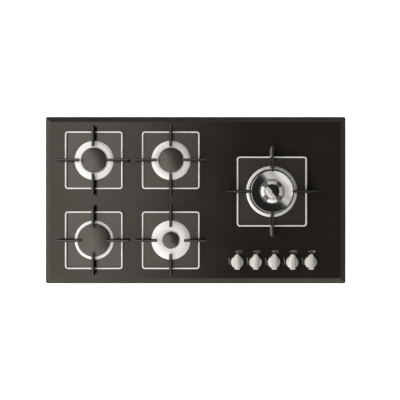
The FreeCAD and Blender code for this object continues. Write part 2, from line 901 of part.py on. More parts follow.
def fingers(name, kind, across, along):
    """Four upright blades in a cross, which are wider at the foot and reach inwards."""
    wok = "wok_" if kind == "wok" else ""
    inner, outer = wok + "finger_inner", wok + "finger_outer"
    bar = "%sframe_span / 2" % wok
    notch_in = "(%s - frame_bar / 2 - finger_notch_gap)" % bar
    notch_out = "(%s + frame_bar / 2 + finger_notch_gap)" % bar
    body = new_body(name + "_support_fingers", across, along)
    heel = "%s - %sfinger_reach_in" % (notch_in, wok)
    side = outline(new_sketch(body, "XZ_Plane"), [
        (inner, "support_top - %sfinger_tip_height" % wok),
        (heel, "finger_base + finger_leg"),
        (heel, "finger_base"),
        (notch_in, "finger_base"),
        (notch_in, "frame_top"),
        (notch_out, "frame_top"),
        (notch_out, "finger_base"),
        (outer + " - finger_lean", "finger_base"),
        (outer, "support_top"),
        (inner, "support_top"),
    ])
    feature(body, "Pad", side, "finger_base_width", Midplane=True)
    beyond = "(finger_base_width / 2 + overrun)"
    flanks = new_sketch(body, "YZ_Plane")
    for sign in ("", "-"):
        outline(flanks, [
            (sign + "finger_base_width / 2", "finger_base"),
            (sign + "finger_top_width / 2", "support_top"),
            (sign + "finger_top_width / 2", "support_top + overrun"),
            (sign + beyond, "support_top + overrun"),
            (sign + beyond, "finger_base"),
        ])
    feature(body, "Pocket", flanks)
    if wok:
        point = new_sketch(body, "XY_Plane")
        for sign in ("", "-"):
            outline(point, [
                (inner + " - overrun", "0"),
                (inner, "0"),
                (inner + " + " + beyond, sign + beyond),
                (inner + " - overrun", sign + beyond),
            ])
        feature(body, "Pocket", point)
    peg = new_sketch(body, "XY_Plane", "finger_base")
    circle(peg, outer + " - finger_lean - foot_inset", "0", "foot_peg_radius + foot_peg_gap")
    feature(body, "Pocket", peg, "foot_peg_height", Reversed=True)
    around(body, "4")
    return body


def feet(name, kind, across, along):
    """Four rubber feet, each pressed into the underside of a finger by its peg."""
    outer = "wok_finger_outer" if kind == "wok" else "finger_outer"
    body = new_body(name + "_support_feet", across, along)
    place = outer + " - finger_lean - foot_inset"
    pad = new_sketch(body, "XY_Plane", "glass_top")
    circle(pad, place, "0", "foot_radius")
    feature(body, "Pad", pad, "foot_thickness")
    peg = new_sketch(body, "XY_Plane", "finger_base")
    circle(peg, place, "0", "foot_peg_radius")
    feature(body, "Pad", peg, "foot_peg_height")
    around(body, "4")
    return body


def knob(index, across):
    """A turned skirt with a grip across it, whose narrow end points away from the user."""
    body = turned("knob_%d" % index, [
        ("0", "knob_under"),
        ("hub_radius", "knob_under"),
        ("hub_radius", "knob_under + knob_cavity"),
        ("skirt_radius - skirt_wall - skirt_slope", "knob_under + knob_cavity"),
        ("skirt_radius - skirt_wall", "knob_under"),
        ("skirt_radius", "knob_under"),
        ("skirt_radius - skirt_slope", "skirt_top"),
        ("0", "skirt_top"),
    ], across, "knob_row")
    grip = outline(new_sketch(body, "XY_Plane", "skirt_top"), [
        ("-grip_end_width / 2", "-grip_front"),
        ("grip_end_width / 2", "-grip_front"),
        ("grip_width / 2", "-grip_front / 2"),
        ("grip_width / 2", "grip_rear - grip_taper"),
        ("grip_tip_width / 2", "grip_rear"),
        ("-grip_tip_width / 2", "grip_rear"),
        ("-grip_width / 2", "grip_rear - grip_taper"),
        ("-grip_width / 2", "-grip_front / 2"),
    ])
    feature(body, "Pad", grip, "grip_height")
    soften(body, "Fillet", "grip_round", at_height("knob_top"))
    bore = new_sketch(body, "XY_Plane", "knob_under")
    circle(bore, "0", "0", "spindle_radius + spindle_gap")
    feature(body, "Pocket", bore, "knob_bore_top - knob_under", Reversed=True)
    key = new_sketch(body, "XY_Plane", "knob_bore_top")
    rectangle(
        key, "spindle_flat + spindle_gap", "spindle_radius + overrun",
        "-key_half_width", "key_half_width",
    )
    feature(body, "Pad", key, "spindle_flat_length - key_gap", Reversed=True)
    return body


def spindle(index, across):
    """The steel spindle that turns and slides in the tap's plug and carries the knob."""
    body = turned("spindle_%d" % index, [
        ("0", "spindle_under"),
        ("spindle_radius", "spindle_under"),
        ("spindle_radius", "knob_bore_top"),
        ("0", "knob_bore_top"),
    ], across, "knob_row")
    flat = new_sketch(body, "XY_Plane", "knob_bore_top")
    beyond = "(spindle_radius + overrun)"
    rectangle(flat, "spindle_flat", beyond, "-" + beyond, beyond)
    feature(body, "Pocket", flat, "spindle_flat_length")
    return body


def tap_plug(index, across):
    """The tapered brass plug that opens and closes the gas way as it turns."""
    body = turned("tap_plug_%d" % index, [
        ("0", "plug_under + plug_end_gap"),
        ("plug_under_radius", "plug_under + plug_end_gap"),
        ("plug_top_radius", "plug_top - plug_end_gap"),
        ("spindle_radius + spindle_gap", "plug_top - plug_end_gap"),
        ("spindle_radius + spindle_gap", "plug_under + plug_end_gap + plug_wall"),
        ("0", "plug_under + plug_end_gap + plug_wall"),
    ], across, "knob_row")
    port = new_sketch(body, "YZ_Plane")
    circle(port, "0", "manifold_height", "gas_way")
    feature(body, "Pocket", port, "plug_top_radius + overrun", Reversed=True)
    return body


def gas_taps():
    """The row of tap bodies, seated on the manifold, each with its bonnet and outlet."""
    body = turned("gas_taps", [
        ("0", "tap_under"),
        ("tap_radius", "tap_under"),
        ("tap_radius", "tap_shoulder"),
        ("bonnet_radius", "tap_shoulder"),
        ("bonnet_radius", "bonnet_top"),
        ("0", "bonnet_top"),
    ], "knob_left", "knob_row")
    inlet = new_sketch(body, "XZ_Plane")
    rectangle(
        inlet, "-seat_width / 2", "seat_width / 2",
        "manifold_height - seat_width / 2", "manifold_height + seat_width / 2",
    )
    feature(body, "Pad", inlet, "manifold_behind - manifold_radius", Reversed=True)
    outlet = new_sketch(body, "XZ_Plane")
    rectangle(
        outlet, "-inlet_width / 2", "inlet_width / 2",
        "tap_outlet - inlet_height / 2", "tap_outlet + inlet_height / 2",
    )
    feature(body, "Pad", outlet, "tap_outlet_reach", Reversed=True)
    cavity = outline(new_sketch(body, "XZ_Plane"), [
        ("0", "tap_outlet"),
        ("gas_way", "tap_outlet"),
        ("gas_way", "plug_under"),
        ("plug_under_radius + plug_gap", "plug_under"),
        ("plug_top_radius + plug_gap", "plug_top"),
        ("spindle_radius + spindle_gap", "plug_top"),
        ("spindle_radius + spindle_gap", "bonnet_top + overrun"),
        ("0", "bonnet_top + overrun"),
    ])
    feature(body, "Groove", cavity)
    for height, hole, reach in (
        ("manifold_height", "seat_hole", "manifold_behind - manifold_radius"),
        ("tap_outlet", "gas_way", "tap_outlet_reach"),
    ):
        way = new_sketch(body, "XZ_Plane", "-(%s)" % reach)
        circle(way, "0", height, hole)
        feature(body, "Pocket", way, reach, Reversed=True)
    along_row(body)
    return body


def tube_path(body, corners, bend):
    """A route of straight runs along X or Y, joined by arcs of one radius."""
    sketch = new_sketch(body, "XY_Plane")
    radius = value(bend)
    spots = [Vector(value(x), value(y), 0) for x, y in corners]
    runs = [(b - a).normalize() for a, b in zip(spots, spots[1:])]
    lines = []
    for index, run in enumerate(runs):
        start = spots[index] + run * (radius if index else 0)
        end = spots[index + 1] - run * (radius if index < len(runs) - 1 else 0)
        lines.append(sketch.addGeometry(Part.LineSegment(start, end), False))
    for index, (before, after) in enumerate(zip(runs, runs[1:])):
        corner = spots[index + 1]
        centre = corner - before * radius + after * radius
        start = (corner - before * radius) - centre
        end = (corner + after * radius) - centre
        left = before.x * after.y - before.y * after.x > 0
        first, last = (start, end) if left else (end, start)
        turn_from = math.atan2(first.y, first.x)
        turn_to = math.atan2(last.y, last.x)
        if turn_to < turn_from:
            turn_to += 2 * math.pi
        disc = Part.Circle(centre, Vector(0, 0, 1), radius)
        arc = sketch.addGeometry(Part.ArcOfCircle(disc, turn_from, turn_to), False)
        ends = (1, 2) if left else (2, 1)
        sketch.addConstraint(Sketcher.Constraint("Tangent", lines[index], 2, arc, ends[0]))
        sketch.addConstraint(Sketcher.Constraint("Tangent", arc, ends[1], lines[index + 1], 1))
        fix_radius(sketch, arc, bend)
    fix_point(sketch, lines[0], 1, *corners[0])
    for index, (line, run) in enumerate(zip(lines, runs)):
        across = abs(run.x) > 0.5
        sketch.addConstraint(Sketcher.Constraint("Horizontal" if across else "Vertical", line))
        if 0 < index:
            fix_distance(sketch, line, 1, corners[index], along_x=not across)
    fix_distance(sketch, lines[-1], 2, corners[-1], along_x=across)
    return sketch


def piped(label, across, along, height, plane, corners, bend, radius, wall):
    """A bent tube. Its route starts at its own origin, square to the named plane."""
    body = new_body(label, across, along)
    tie(body, "Placement.Base.z", height)
    path = tube_path(body, corners, bend)
    section = new_sketch(body, plane)
    circle(section, "0", "0", radius)
    circle(section, "0", "0", "%s - %s" % (radius, wall))
    made = body.newObject("PartDesign::AdditivePipe", label + "_pipe")
    made.Profile = section
    made.Spine = (path, ["Edge%d" % (index + 1) for index in range(path.GeometryCount)])
    doc.recompute()
    return body


def feed_tube(name, tap, column, row, lane=None, riser=None):
    """The tube from one tap's outlet to the inlet on the cup of its burner."""
    start = "(knob_row + tap_outlet_reach)"

    def here(x, y):
        return "%s - (%s)" % (x, knobs[tap]), "%s - %s" % (y, start)

    corners = [("0", "0")]
    if lane:
        corners += [here(knobs[tap], lane), here(riser, lane), here(riser, row)]
    else:
        corners.append(here(knobs[tap], row))
    corners.append(here("(%s + inlet_reach)" % column, row))
    return piped(
        name + "_feed_tube", knobs[tap], start, "tap_outlet", "XZ_Plane",
        corners, "feed_bend", "feed_radius", "feed_wall",
    )


def gas_manifold():
    """The steel tube behind the taps, which turns back towards the gas inlet."""
    left = "(knob_left - manifold_left)"
    body = piped(
        "gas_manifold", left, "manifold_line", "manifold_height", "YZ_Plane",
        [
            ("0", "0"),
            ("manifold_side - " + left, "0"),
            ("manifold_side - " + left, "manifold_rear - manifold_line"),
        ],
        "manifold_bend", "manifold_radius", "manifold_wall",
    )
    stopper = new_sketch(body, "YZ_Plane")
    circle(stopper, "0", "0", "manifold_radius")
    feature(body, "Pad", stopper, "manifold_wall")
    for kind, width in (("Pad", "seat_width / 2"), ("Pocket", None)):
        sketch = new_sketch(body, "XZ_Plane", "manifold_radius")
        for across in knobs:
            place = "%s - %s" % (across, left)
            if width:
                rectangle(
                    sketch, "%s - %s" % (place, width), "%s + %s" % (place, width),
                    "-" + width, width,
                )
            else:
                circle(sketch, place, "0", "seat_hole")
        feature(body, kind, sketch, "seat_depth", Reversed=(kind == "Pad"))
    return body


def cylinder(label, radius, length, x, y, z, axis=(0, 0, 1)):
    made = doc.addObject("Part::Cylinder", label)
    made.Placement = Placement(Vector(), Rotation(Vector(0, 0, 1), Vector(*axis)))
    tie(made, "Radius", radius)
    tie(made, "Height", length)
    for letter, place in (("x", x), ("y", y), ("z", z)):
        tie(made, "Placement.Base." + letter, place)
    return made


def fused(label, tools):
    made = doc.addObject("Part::MultiFuse", label)
    made.Shapes = tools
    return made


def cut_from(label, base, tool):
    made = doc.addObject("Part::Cut", label)
    made.Base = base
    made.Tool = tool
    return made


def inlet_elbow():
    """The brass elbow that turns down from the manifold's end to the supply thread."""
    side, corner = "manifold_side", "elbow_corner"
    leg = "elbow_corner - manifold_rear"
    height = "manifold_height"
    outside = fused("elbow_outside", [
        cylinder("elbow_leg", "elbow_radius", leg, side, "manifold_rear", height, (0, 1, 0)),
        cylinder("elbow_nut", "elbow_nut", "elbow_nut_depth", side, "notch_front", height, (0, 1, 0)),
        cylinder("elbow_body", "thread_radius + elbow_wall",
                 height + " + elbow_radius + elbow_wall - elbow_under - thread_length",
                 side, corner, "elbow_under + thread_length"),
        cylinder("elbow_thread", "thread_radius", "thread_length", side, corner, "elbow_under"),
    ])
    inside = fused("elbow_inside", [
        cylinder("elbow_leg_bore", "elbow_bore", leg, side, "manifold_rear", height, (0, 1, 0)),
        cylinder("elbow_thread_bore", "thread_bore", height + " - elbow_under",
                 side, corner, "elbow_under"),
    ])
    return cut_from("inlet_elbow", outside, inside)


def cable_gland():
    """The plastic gland through which the mains cable enters the pan."""
    length = "gland_tail + pan_sheet + gland_reach"
    inner_end = "notch_front - pan_sheet - gland_tail"
    inner_face = "notch_front - pan_sheet - gland_flange_thickness"
    place, height, backwards = "gland_across", "manifold_height", (0, 1, 0)
    outside = fused("gland_outside", [
        cylinder("gland_barrel", "gland_radius", length, place, inner_end, height, backwards),
        cylinder("gland_collar", "gland_flange", "gland_flange_thickness",
                 place, "notch_front", height, backwards),
        cylinder("gland_nut", "gland_flange", "gland_flange_thickness",
                 place, inner_face, height, backwards),
    ])
    bore = cylinder("gland_way", "gland_bore", length, place, inner_end, height, backwards)
    return cut_from("cable_gland", outside, bore)


def rail(label, width, length, across, along, turn, cups):
    """A shallow upturned channel, open below, with a hole for each cup that it carries."""
    body = new_body(label, across, along, turn)
    half = "(%s / 2)" % width
    section = outline(new_sketch(body, "XZ_Plane"), [
        ("-" + half, "flange_under - rail_lip"),
        ("-" + half + " + rail_sheet", "flange_under - rail_lip"),
        ("-" + half + " + rail_sheet", "flange_under - rail_sheet"),
        (half + " - rail_sheet", "flange_under - rail_sheet"),
        (half + " - rail_sheet", "flange_under - rail_lip"),
        (half, "flange_under - rail_lip"),
        (half, "flange_under"),
        ("-" + half, "flange_under"),
    ])
    feature(body, "Pad", section, length, Midplane=True)
    holes = new_sketch(body, "XY_Plane", "flange_under", -turn)
    for kind, x, y in cups:
        circle(holes, x, y, kind + "_crown + rail_hole_reach")
        for side in ("-", "+"):
            circle(holes, "%s %s (%s_crown + screw_reach)" % (x, side, kind), y, "screw_hole")
    feature(body, "Pocket", holes, "rail_sheet * 2")
    return body


def support_rails():
    length = "pan_depth - 2 * pan_sheet"
    left_end = "(middle_column + rail_width / 2)"
    right_end = "(pan_length / 2 - pan_sheet)"
    middle = "((%s + %s) / 2)" % (left_end, right_end)
    return [
        rail("left_rail", "rail_width", length, "left_column", "0", 0,
             [("semi", "0", "rear_row"), ("rapid", "0", "front_row")]),
        rail("middle_rail", "rail_width", length, "middle_column", "0", 0,
             [("semi", "0", "rear_row"), ("auxiliary", "0", "front_row")]),
        rail("wok_rail", "wok_rail_width", "%s - %s" % (right_end, left_end),
             middle, "wok_along", 90, [("wok", "wok_across - " + middle, "0")]),
    ]


def clamp_bracket(label, side, along):
    """An angle of steel strip, screwed to the pan's side, that grips the worktop."""
    body = new_body(label, "%s * pan_length / 2" % side, along, 0 if side > 0 else 180)
    section = outline(new_sketch(body, "XZ_Plane"), [
        ("0", "bracket_under"),
        ("bracket_reach", "bracket_under"),
        ("bracket_reach", "bracket_under + bracket_sheet"),
        ("bracket_sheet", "bracket_under + bracket_sheet"),
        ("bracket_sheet", "bracket_under + bracket_leg"),
        ("0", "bracket_under + bracket_leg"),
    ])
    feature(body, "Pad", section, "bracket_width", Midplane=True)
    hole = new_sketch(body, "YZ_Plane")
    circle(hole, "0", "bracket_under + bracket_screw_rise", "bracket_hole")
    feature(body, "Pocket", hole)
    return body


def clamp_screw(label, side, along):
    """A pan-head screw that goes sideways through a bracket and the pan's wall."""
    face = "%s * (pan_length / 2 + bracket_sheet)" % side
    height = "bracket_under + bracket_screw_rise"
    return fused(label, [
        cylinder(label + "_head", "bracket_screw_head", "bracket_screw_head_height",
                 face, along, height, (side, 0, 0)),
        cylinder(label + "_shank", "bracket_screw_radius", "bracket_screw_length",
                 face, along, height, (-side, 0, 0)),
    ])


def cup_screw(label, kind, side, across, along):
    """A screw that goes up through a rail into a cup's flange."""
    return turned(label, [
        ("0", "flange_under - rail_sheet - screw_head_height"),
        ("screw_head", "flange_under - rail_sheet - screw_head_height"),
        ("screw_head", "flange_under - rail_sheet"),
        ("screw_radius", "flange_under - rail_sheet"),
        ("screw_radius", "flange_under + screw_grip"),
        ("0", "flange_under + screw_grip"),
    ], "%s + %d * (%s_crown + screw_reach)" % (across, side, kind), along)


def ignition_module():
    """The moulded box that makes the sparks, with a row of terminals at its rear."""
    body = new_body("ignition_module", "module_across", "module_along")
    box = new_sketch(body, "XY_Plane", "pan_floor")
    rectangle(
        box, "-module_length / 2", "module_length / 2", "-module_width / 2", "module_width / 2"
    )
    feature(body, "Pad", box, "module_height")
    soften(body, "Fillet", "module_round", upright)
    row = new_sketch(body, "XZ_Plane", "-module_width / 2")
    for index in range(int(value("terminal_count"))):
        place = "(%d - (terminal_count - 1) / 2) * terminal_pitch" % index
        circle(row, place, "pan_floor + module_height / 2", "terminal_radius")
    feature(body, "Pad", row, "terminal_length", Reversed=True)
    return body


keep("glass_top", glass_top())
keep("worktop_seal", worktop_seal())
keep("base_pan", base_pan())
keep("burner_trays", [tray(*burner) for burner in burners])
keep("trim_rings", [trim_ring(*burner) for burner in burners])
keep("burner_cups", [cup(*burner) for burner in burners])
keep("injectors", [injector(*burner) for burner in burners])
keep("spark_electrodes", [
    probe(burner[0] + "_spark", *burner[1:], "spark", "spark_angle") for burner in burners
])
keep("flame_sensors", [
    probe(burner[0] + "_sensor", *burner[1:], "sensor", "sensor_angle") for burner in burners
])
for burner in burners:
    name = burner[0]
    keep(name + "_flame_spreader", spreader(*burner))
    if name != "wok":
        keep(name + "_cap", cap(*burner))
    keep(name + "_support_frame", support_frame(*burner))
    keep(name + "_support_fingers", fingers(*burner))
    keep(name + "_support_feet", feet(*burner))
keep("wok_ring_cap", wok_ring_cap("wok_across", "wok_along"))
keep("wok_inner_spreader", wok_inner_spreader("wok_across", "wok_along"))
keep("wok_inner_cap", wok_inner_cap("wok_across", "wok_along"))
for number, across in enumerate(knobs, 1):
    keep("knob_%d" % number, knob(number, across))
    keep("spindle_%d" % number, spindle(number, across))
    keep("tap_plug_%d" % number, tap_plug(number, across))
keep("gas_taps", gas_taps())
keep("gas_manifold", gas_manifold())
keep("feed_tubes", [
    feed_tube("left_front", 0, "left_column", "front_row", "left_front_lane", "left_front_riser"),
    feed_tube("middle_front", 1, "middle_column", "front_row"),
    feed_tube("left_rear", 2, "left_column", "rear_row", "left_rear_lane", "left_rear_riser"),
    feed_tube("middle_rear", 3, "middle_column", "rear_row", "middle_rear_lane", "middle_rear_riser"),
    feed_tube("wok", 4, "wok_across", "wok_along"),
])
keep("inlet_elbow", inlet_elbow())
keep("cable_gland", cable_gland())
keep("support_rails", support_rails())
corners = [(side, along) for side in (-1, 1) for along in ("-bracket_along", "bracket_along")]
keep("clamp_brackets", [
    clamp_bracket("bracket_%d" % index, *corner) for index, corner in enumerate(corners)
])
keep("fixing_screws", [
    clamp_screw("clamp_screw_%d" % index, *corner) for index, corner in enumerate(corners)
] + [
    cup_screw("%s_screw_%d" % (name, side), kind, side, across, along)
    for name, kind, across, along in burners for side in (-1, 1)
])
keep("ignition_module", ignition_module())
doc.recompute()

for thing in doc.Objects:
    if "Invalid" in thing.State or "Error" in thing.State:
        raise RuntimeError("%s failed: %s" % (thing.Label, thing.State))
    if thing.TypeId in ("PartDesign::Pocket", "PartDesign::Groove"):
        if thing.Shape.Volume > thing.BaseFeature.Shape.Volume - 1e-3:
            raise RuntimeError("%s cuts nothing" % thing.Name)
for name, thing in nodes.items():
    if thing.Shape.isNull() or not thing.Shape.isValid() or not thing.Shape.Solids:
        raise RuntimeError("%s has no sound shape" % name)

os.makedirs("parts", exist_ok=True)
for name, thing in nodes.items():
    thing.Shape.exportStep("parts/%s.step" % name)
    print(name, len(thing.Shape.Solids), "solids", round(thing.Shape.Volume / 1000, 1), "cm3")
print(len(nodes), "pieces")
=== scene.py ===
import math

import bmesh
import bpy
import numpy as np
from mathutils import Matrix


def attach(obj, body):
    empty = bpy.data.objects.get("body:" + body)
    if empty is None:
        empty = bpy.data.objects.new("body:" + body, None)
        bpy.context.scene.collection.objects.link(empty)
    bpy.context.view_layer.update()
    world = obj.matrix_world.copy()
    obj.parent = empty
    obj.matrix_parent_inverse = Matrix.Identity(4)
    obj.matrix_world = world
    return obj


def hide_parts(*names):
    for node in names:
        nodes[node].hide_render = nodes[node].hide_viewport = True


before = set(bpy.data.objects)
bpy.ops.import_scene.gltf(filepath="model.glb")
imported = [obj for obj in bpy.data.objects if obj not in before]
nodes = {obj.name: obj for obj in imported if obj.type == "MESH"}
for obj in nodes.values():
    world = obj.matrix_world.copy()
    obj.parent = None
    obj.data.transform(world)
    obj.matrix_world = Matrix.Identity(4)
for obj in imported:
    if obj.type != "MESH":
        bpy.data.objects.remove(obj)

# A built-in gas cooktop seen from straight above. Sizes are in millimetres, as in the CAD,
# and are turned to metres where a mesh is made.
scene = bpy.context.scene
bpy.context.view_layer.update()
metre = 0.001
print("frame loaded,", len(nodes), "nodes")

# where the burners stand, and the radius of each cap
columnLeft, columnMiddle = -304, -74
rowRear, rowFront = 119.5, -119.5
burners = {
    "left_rear": {"at": (columnLeft, rowRear), "cap": 37.5},
    "left_front": {"at": (columnLeft, rowFront), "cap": 49},
    "middle_rear": {"at": (columnMiddle, rowRear), "cap": 37.5},
    "middle_front": {"at": (columnMiddle, rowFront), "cap": 25},
    "wok": {"at": (228, 26), "cap": 64},
}

# the square bars of the pan supports; the fingers pass them at half the span
frameShape = {"span": 168, "wokSpan": 205, "bar": 4, "under": 14, "top": 22, "corner": 9,
              "round": 0.5}

# edges that turn by more than this many degrees stay crisp
crisp = 32
# steps of a full turn
around = 144


# small tools for meshes

def filletOutline(corners, radii, steps=6, closed=True):
    # Every corner c becomes an arc of its radius that touches both sides:
    # the arc's centre lies on the corner's bisector, r / sin(half the angle) from c,
    # and its points are the start and end arms turned into each other (slerp).
    corners = np.asarray(corners, float)
    radii = np.broadcast_to(np.asarray(radii, float), len(corners)).copy()
    if not closed:
        radii[[0, -1]] = 0
    back = np.roll(corners, 1, axis=0) - corners
    ahead = np.roll(corners, -1, axis=0) - corners
    back /= np.linalg.norm(back, axis=1, keepdims=True)
    ahead /= np.linalg.norm(ahead, axis=1, keepdims=True)
    half = np.arccos(np.clip((back * ahead).sum(1), -1, 1)) / 2
    straight = half > math.pi / 2 - 1e-3
    radii[straight] = 0
    bisector = back + ahead
    length = np.linalg.norm(bisector, axis=1, keepdims=True)
    bisector = np.where(length > 1e-9, bisector / np.maximum(length, 1e-9), 0)
    centre = corners + bisector * (radii / np.sin(half))[:, None]
    reach = (radii / np.tan(half))[:, None]
    start = corners + back * reach - centre
    end = corners + ahead * reach - centre
    turn = np.maximum(math.pi - 2 * half, 1e-6)[:, None]
    t = np.linspace(0, 1, steps)[None, :]
    first = np.sin((1 - t) * turn) / np.sin(turn)
    last = np.sin(t * turn) / np.sin(turn)
    arcs = centre[:, None] + first[..., None] * start[:, None] + last[..., None] * end[:, None]
    points = arcs.reshape(-1, 2)
    step = np.linalg.norm(points - np.roll(points, 1, axis=0), axis=1)
    kept = step > 1e-5
    if not closed:
        kept[0] = True
    return points[kept]


def gridFaces(rows, columns, wrapRows=False, wrapColumns=False, start=0):
    # the four corner numbers of every cell of a grid, as whole arrays
    row = np.arange(rows if wrapRows else rows - 1)
    column = np.arange(columns if wrapColumns else columns - 1)
    row, column = np.meshgrid(row, column, indexing="ij")
    nextRow, nextColumn = (row + 1) % rows, (column + 1) % columns
    corners = [row * columns + column, nextRow * columns + column,
               nextRow * columns + nextColumn, row * columns + nextColumn]
    return (start + np.stack(corners, axis=-1)).reshape(-1, 4).tolist()


def makePiece(name, points, faces, finish, body, replaced=(), flat=False):
    # points in millimetres; doubles within 0.002 mm are merged, and faces turned outwards,
    # or upwards in a flat print
    mesh = bpy.data.meshes.new(name)
    mesh.from_pydata((np.asarray(points).reshape(-1, 3) * metre).tolist(), [], faces)
    shell = bmesh.new()
    shell.from_mesh(mesh)
    bmesh.ops.remove_doubles(shell, verts=shell.verts, dist=2e-6)
    bmesh.ops.dissolve_degenerate(shell, edges=shell.edges, dist=1e-6)
    bmesh.ops.recalc_face_normals(shell, faces=shell.faces)
    if flat:
        downward = [face for face in shell.faces if face.normal.z < 0]
        bmesh.ops.reverse_faces(shell, faces=downward)
    shell.to_mesh(mesh)
    shell.free()
    mesh.polygons.foreach_set("use_smooth", np.ones(len(mesh.polygons), bool))
    mesh.set_sharp_from_angle(angle=math.radians(crisp))
    mesh.materials.append(finishes[finish])
    piece = bpy.data.objects.new(name, mesh)
    scene.collection.objects.link(piece)
    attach(piece, body)
    if replaced:
        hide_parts(*replaced)


def turnedPoints(profile, centre, segments=around):
    # (r, z) turned about the upright axis through centre:
    # x = cx + r cos a, y = cy + r sin a, z = z, for the angles a once round
    angle = np.linspace(0, 2 * math.pi, segments, endpoint=False)
    r, z = np.asarray(profile)[:, 0:1], np.asarray(profile)[:, 1:2]
    x = centre[0] + r * np.cos(angle)
    y = centre[1] + r * np.sin(angle)
    return np.stack([x, y, np.broadcast_to(z, x.shape)], axis=-1)


def turnedPiece(name, profile, centre, finish, body, replaced=(), closed=False,
                segments=around):
    points = turnedPoints(profile, centre, segments)
    faces = gridFaces(len(profile), segments, closed, True)
    makePiece(name, points, faces, finish, body, replaced)


# small tools for materials

def linearColour(text):
    # sRGB hex to linear light
    parts = np.array([int(text[i:i + 2], 16) for i in (1, 3, 5)]) / 255
    parts = np.where(parts <= 0.04045, parts / 12.92, ((parts + 0.055) / 1.055) ** 2.4)
    return (*(float(part) for part in parts), 1.0)


def addNode(tree, kind, links=None, stops=(), **settings):
    # one node: its settings, the stops of its colour ramp, and for each input a value,
    # a socket, or another node, whose first output is meant
    node = tree.nodes.new("ShaderNode" + kind)
    for name, setting in settings.items():
        setattr(node, name, setting)
    for index, (place, colour) in enumerate(stops):
        points = node.color_ramp.elements
        point = points[index] if index < 2 else points.new(place)
        point.position = place
        point.color = linearColour(colour) if isinstance(colour, str) else colour
    for name, source in (links or {}).items():
        if isinstance(source, bpy.types.Node):
            source = source.outputs[0]
        if isinstance(source, bpy.types.NodeSocket):
            tree.links.new(source, node.inputs[name])
        else:
            node.inputs[name].default_value = source
    return node


def newFinish(name, slot, colour, metallic, roughness, **more):
    material = bpy.data.materials.new(name)
    material.use_nodes = True
    tree = material.node_tree
    shader = tree.nodes["Principled BSDF"]
    shader.inputs["Base Color"].default_value = linearColour(colour)
    shader.inputs["Metallic"].default_value = metallic
    shader.inputs["Roughness"].default_value = roughness
    for socket, setting in more.items():
        shader.inputs[socket.replace("_", " ")].default_value = setting
    material.diffuse_color = linearColour(colour)
    finishes[name] = material
    slots[name] = slot
    return tree, shader


def grainInto(tree, shader, size, stretch, tones, gloss, depth):
    # A grain with blobs of about `size` millimetres, longer along the stretched axes. It
    # takes the colour from the first tone to the second, moves the roughness between its
    # two values, and stands up by the depth in millimetres.
    place = addNode(tree, "TexCoord").outputs["Object"]
    scale = [1 / (size * metre * part) for part in stretch]
    mapped = addNode(tree, "Mapping", {"Vector": place, "Scale": scale})
    noise = addNode(tree, "TexNoise", {
        "Vector": mapped, "Scale": 1.0, "Detail": 3.0, "Roughness": 0.6})
    colour = addNode(tree, "ValToRGB", {"Fac": noise},
                     [(0.32, tones[0]), (0.68, tones[1])])
    rough = addNode(tree, "MapRange", {
        "Value": noise, "From Min": 0.3, "From Max": 0.7,
        "To Min": gloss[0], "To Max": gloss[1]})
    bump = addNode(tree, "Bump", {"Height": noise, "Distance": depth * metre})
    for socket, node in (("Base Color", colour), ("Roughness", rough), ("Normal", bump)):
        tree.links.new(node.outputs[0], shader.inputs[socket])


finishes, slots = {}, {}
evenly = (1, 1, 1)
alongBar = (1, 60, 60)


# Toughened glass, printed black underneath: a polished face, and ground edges that
# are a little paler. Wiped dust varies the gloss a trace.
def makeBlackGlass():
    tree, shader = newFinish("toughenedBlackGlass", "glass", "#1a1815", 0, 0.05, IOR=1.46,
                             Specular_Tint=(1, 0.95, 0.88, 1))
    grainInto(tree, shader, 60, evenly, ("#24221e", "#272521"), (0.03, 0.07), 0.0)
    face = shader.inputs["Base Color"].links[0].from_socket
    facing = addNode(tree, "NewGeometry").outputs["Normal"]
    up = addNode(tree, "SeparateXYZ", {"Vector": facing}).outputs["Z"]
    ground = addNode(tree, "MapRange", {
        "Value": up, "From Min": 0.999, "From Max": 0.98, "To Min": 0.0, "To Max": 1.0})
    mixed = addNode(tree, "Mix", {
        0: ground, 6: face, 7: linearColour("#3b3935")}, data_type="RGBA")
    tree.links.new(mixed.outputs[2], shader.inputs["Base Color"])
    shine = addNode(tree, "MapRange", {"Value": ground, "To Min": 0.5, "To Max": 0.3})
    tree.links.new(shine.outputs[0], shader.inputs["Specular IOR Level"])


# Vitreous enamel fired on steel or iron: a dark gloss over a fine orange-peel skin.
def makeEnamel(name, slot, tones, gloss, peel, depth):
    tree, shader = newFinish(name, slot, tones[1], 0, gloss[1], IOR=1.5,
                             Specular_IOR_Level=1.0, Specular_Tint=(1, 0.96, 0.9, 1))
    grainInto(tree, shader, peel, evenly, tones, gloss, depth)


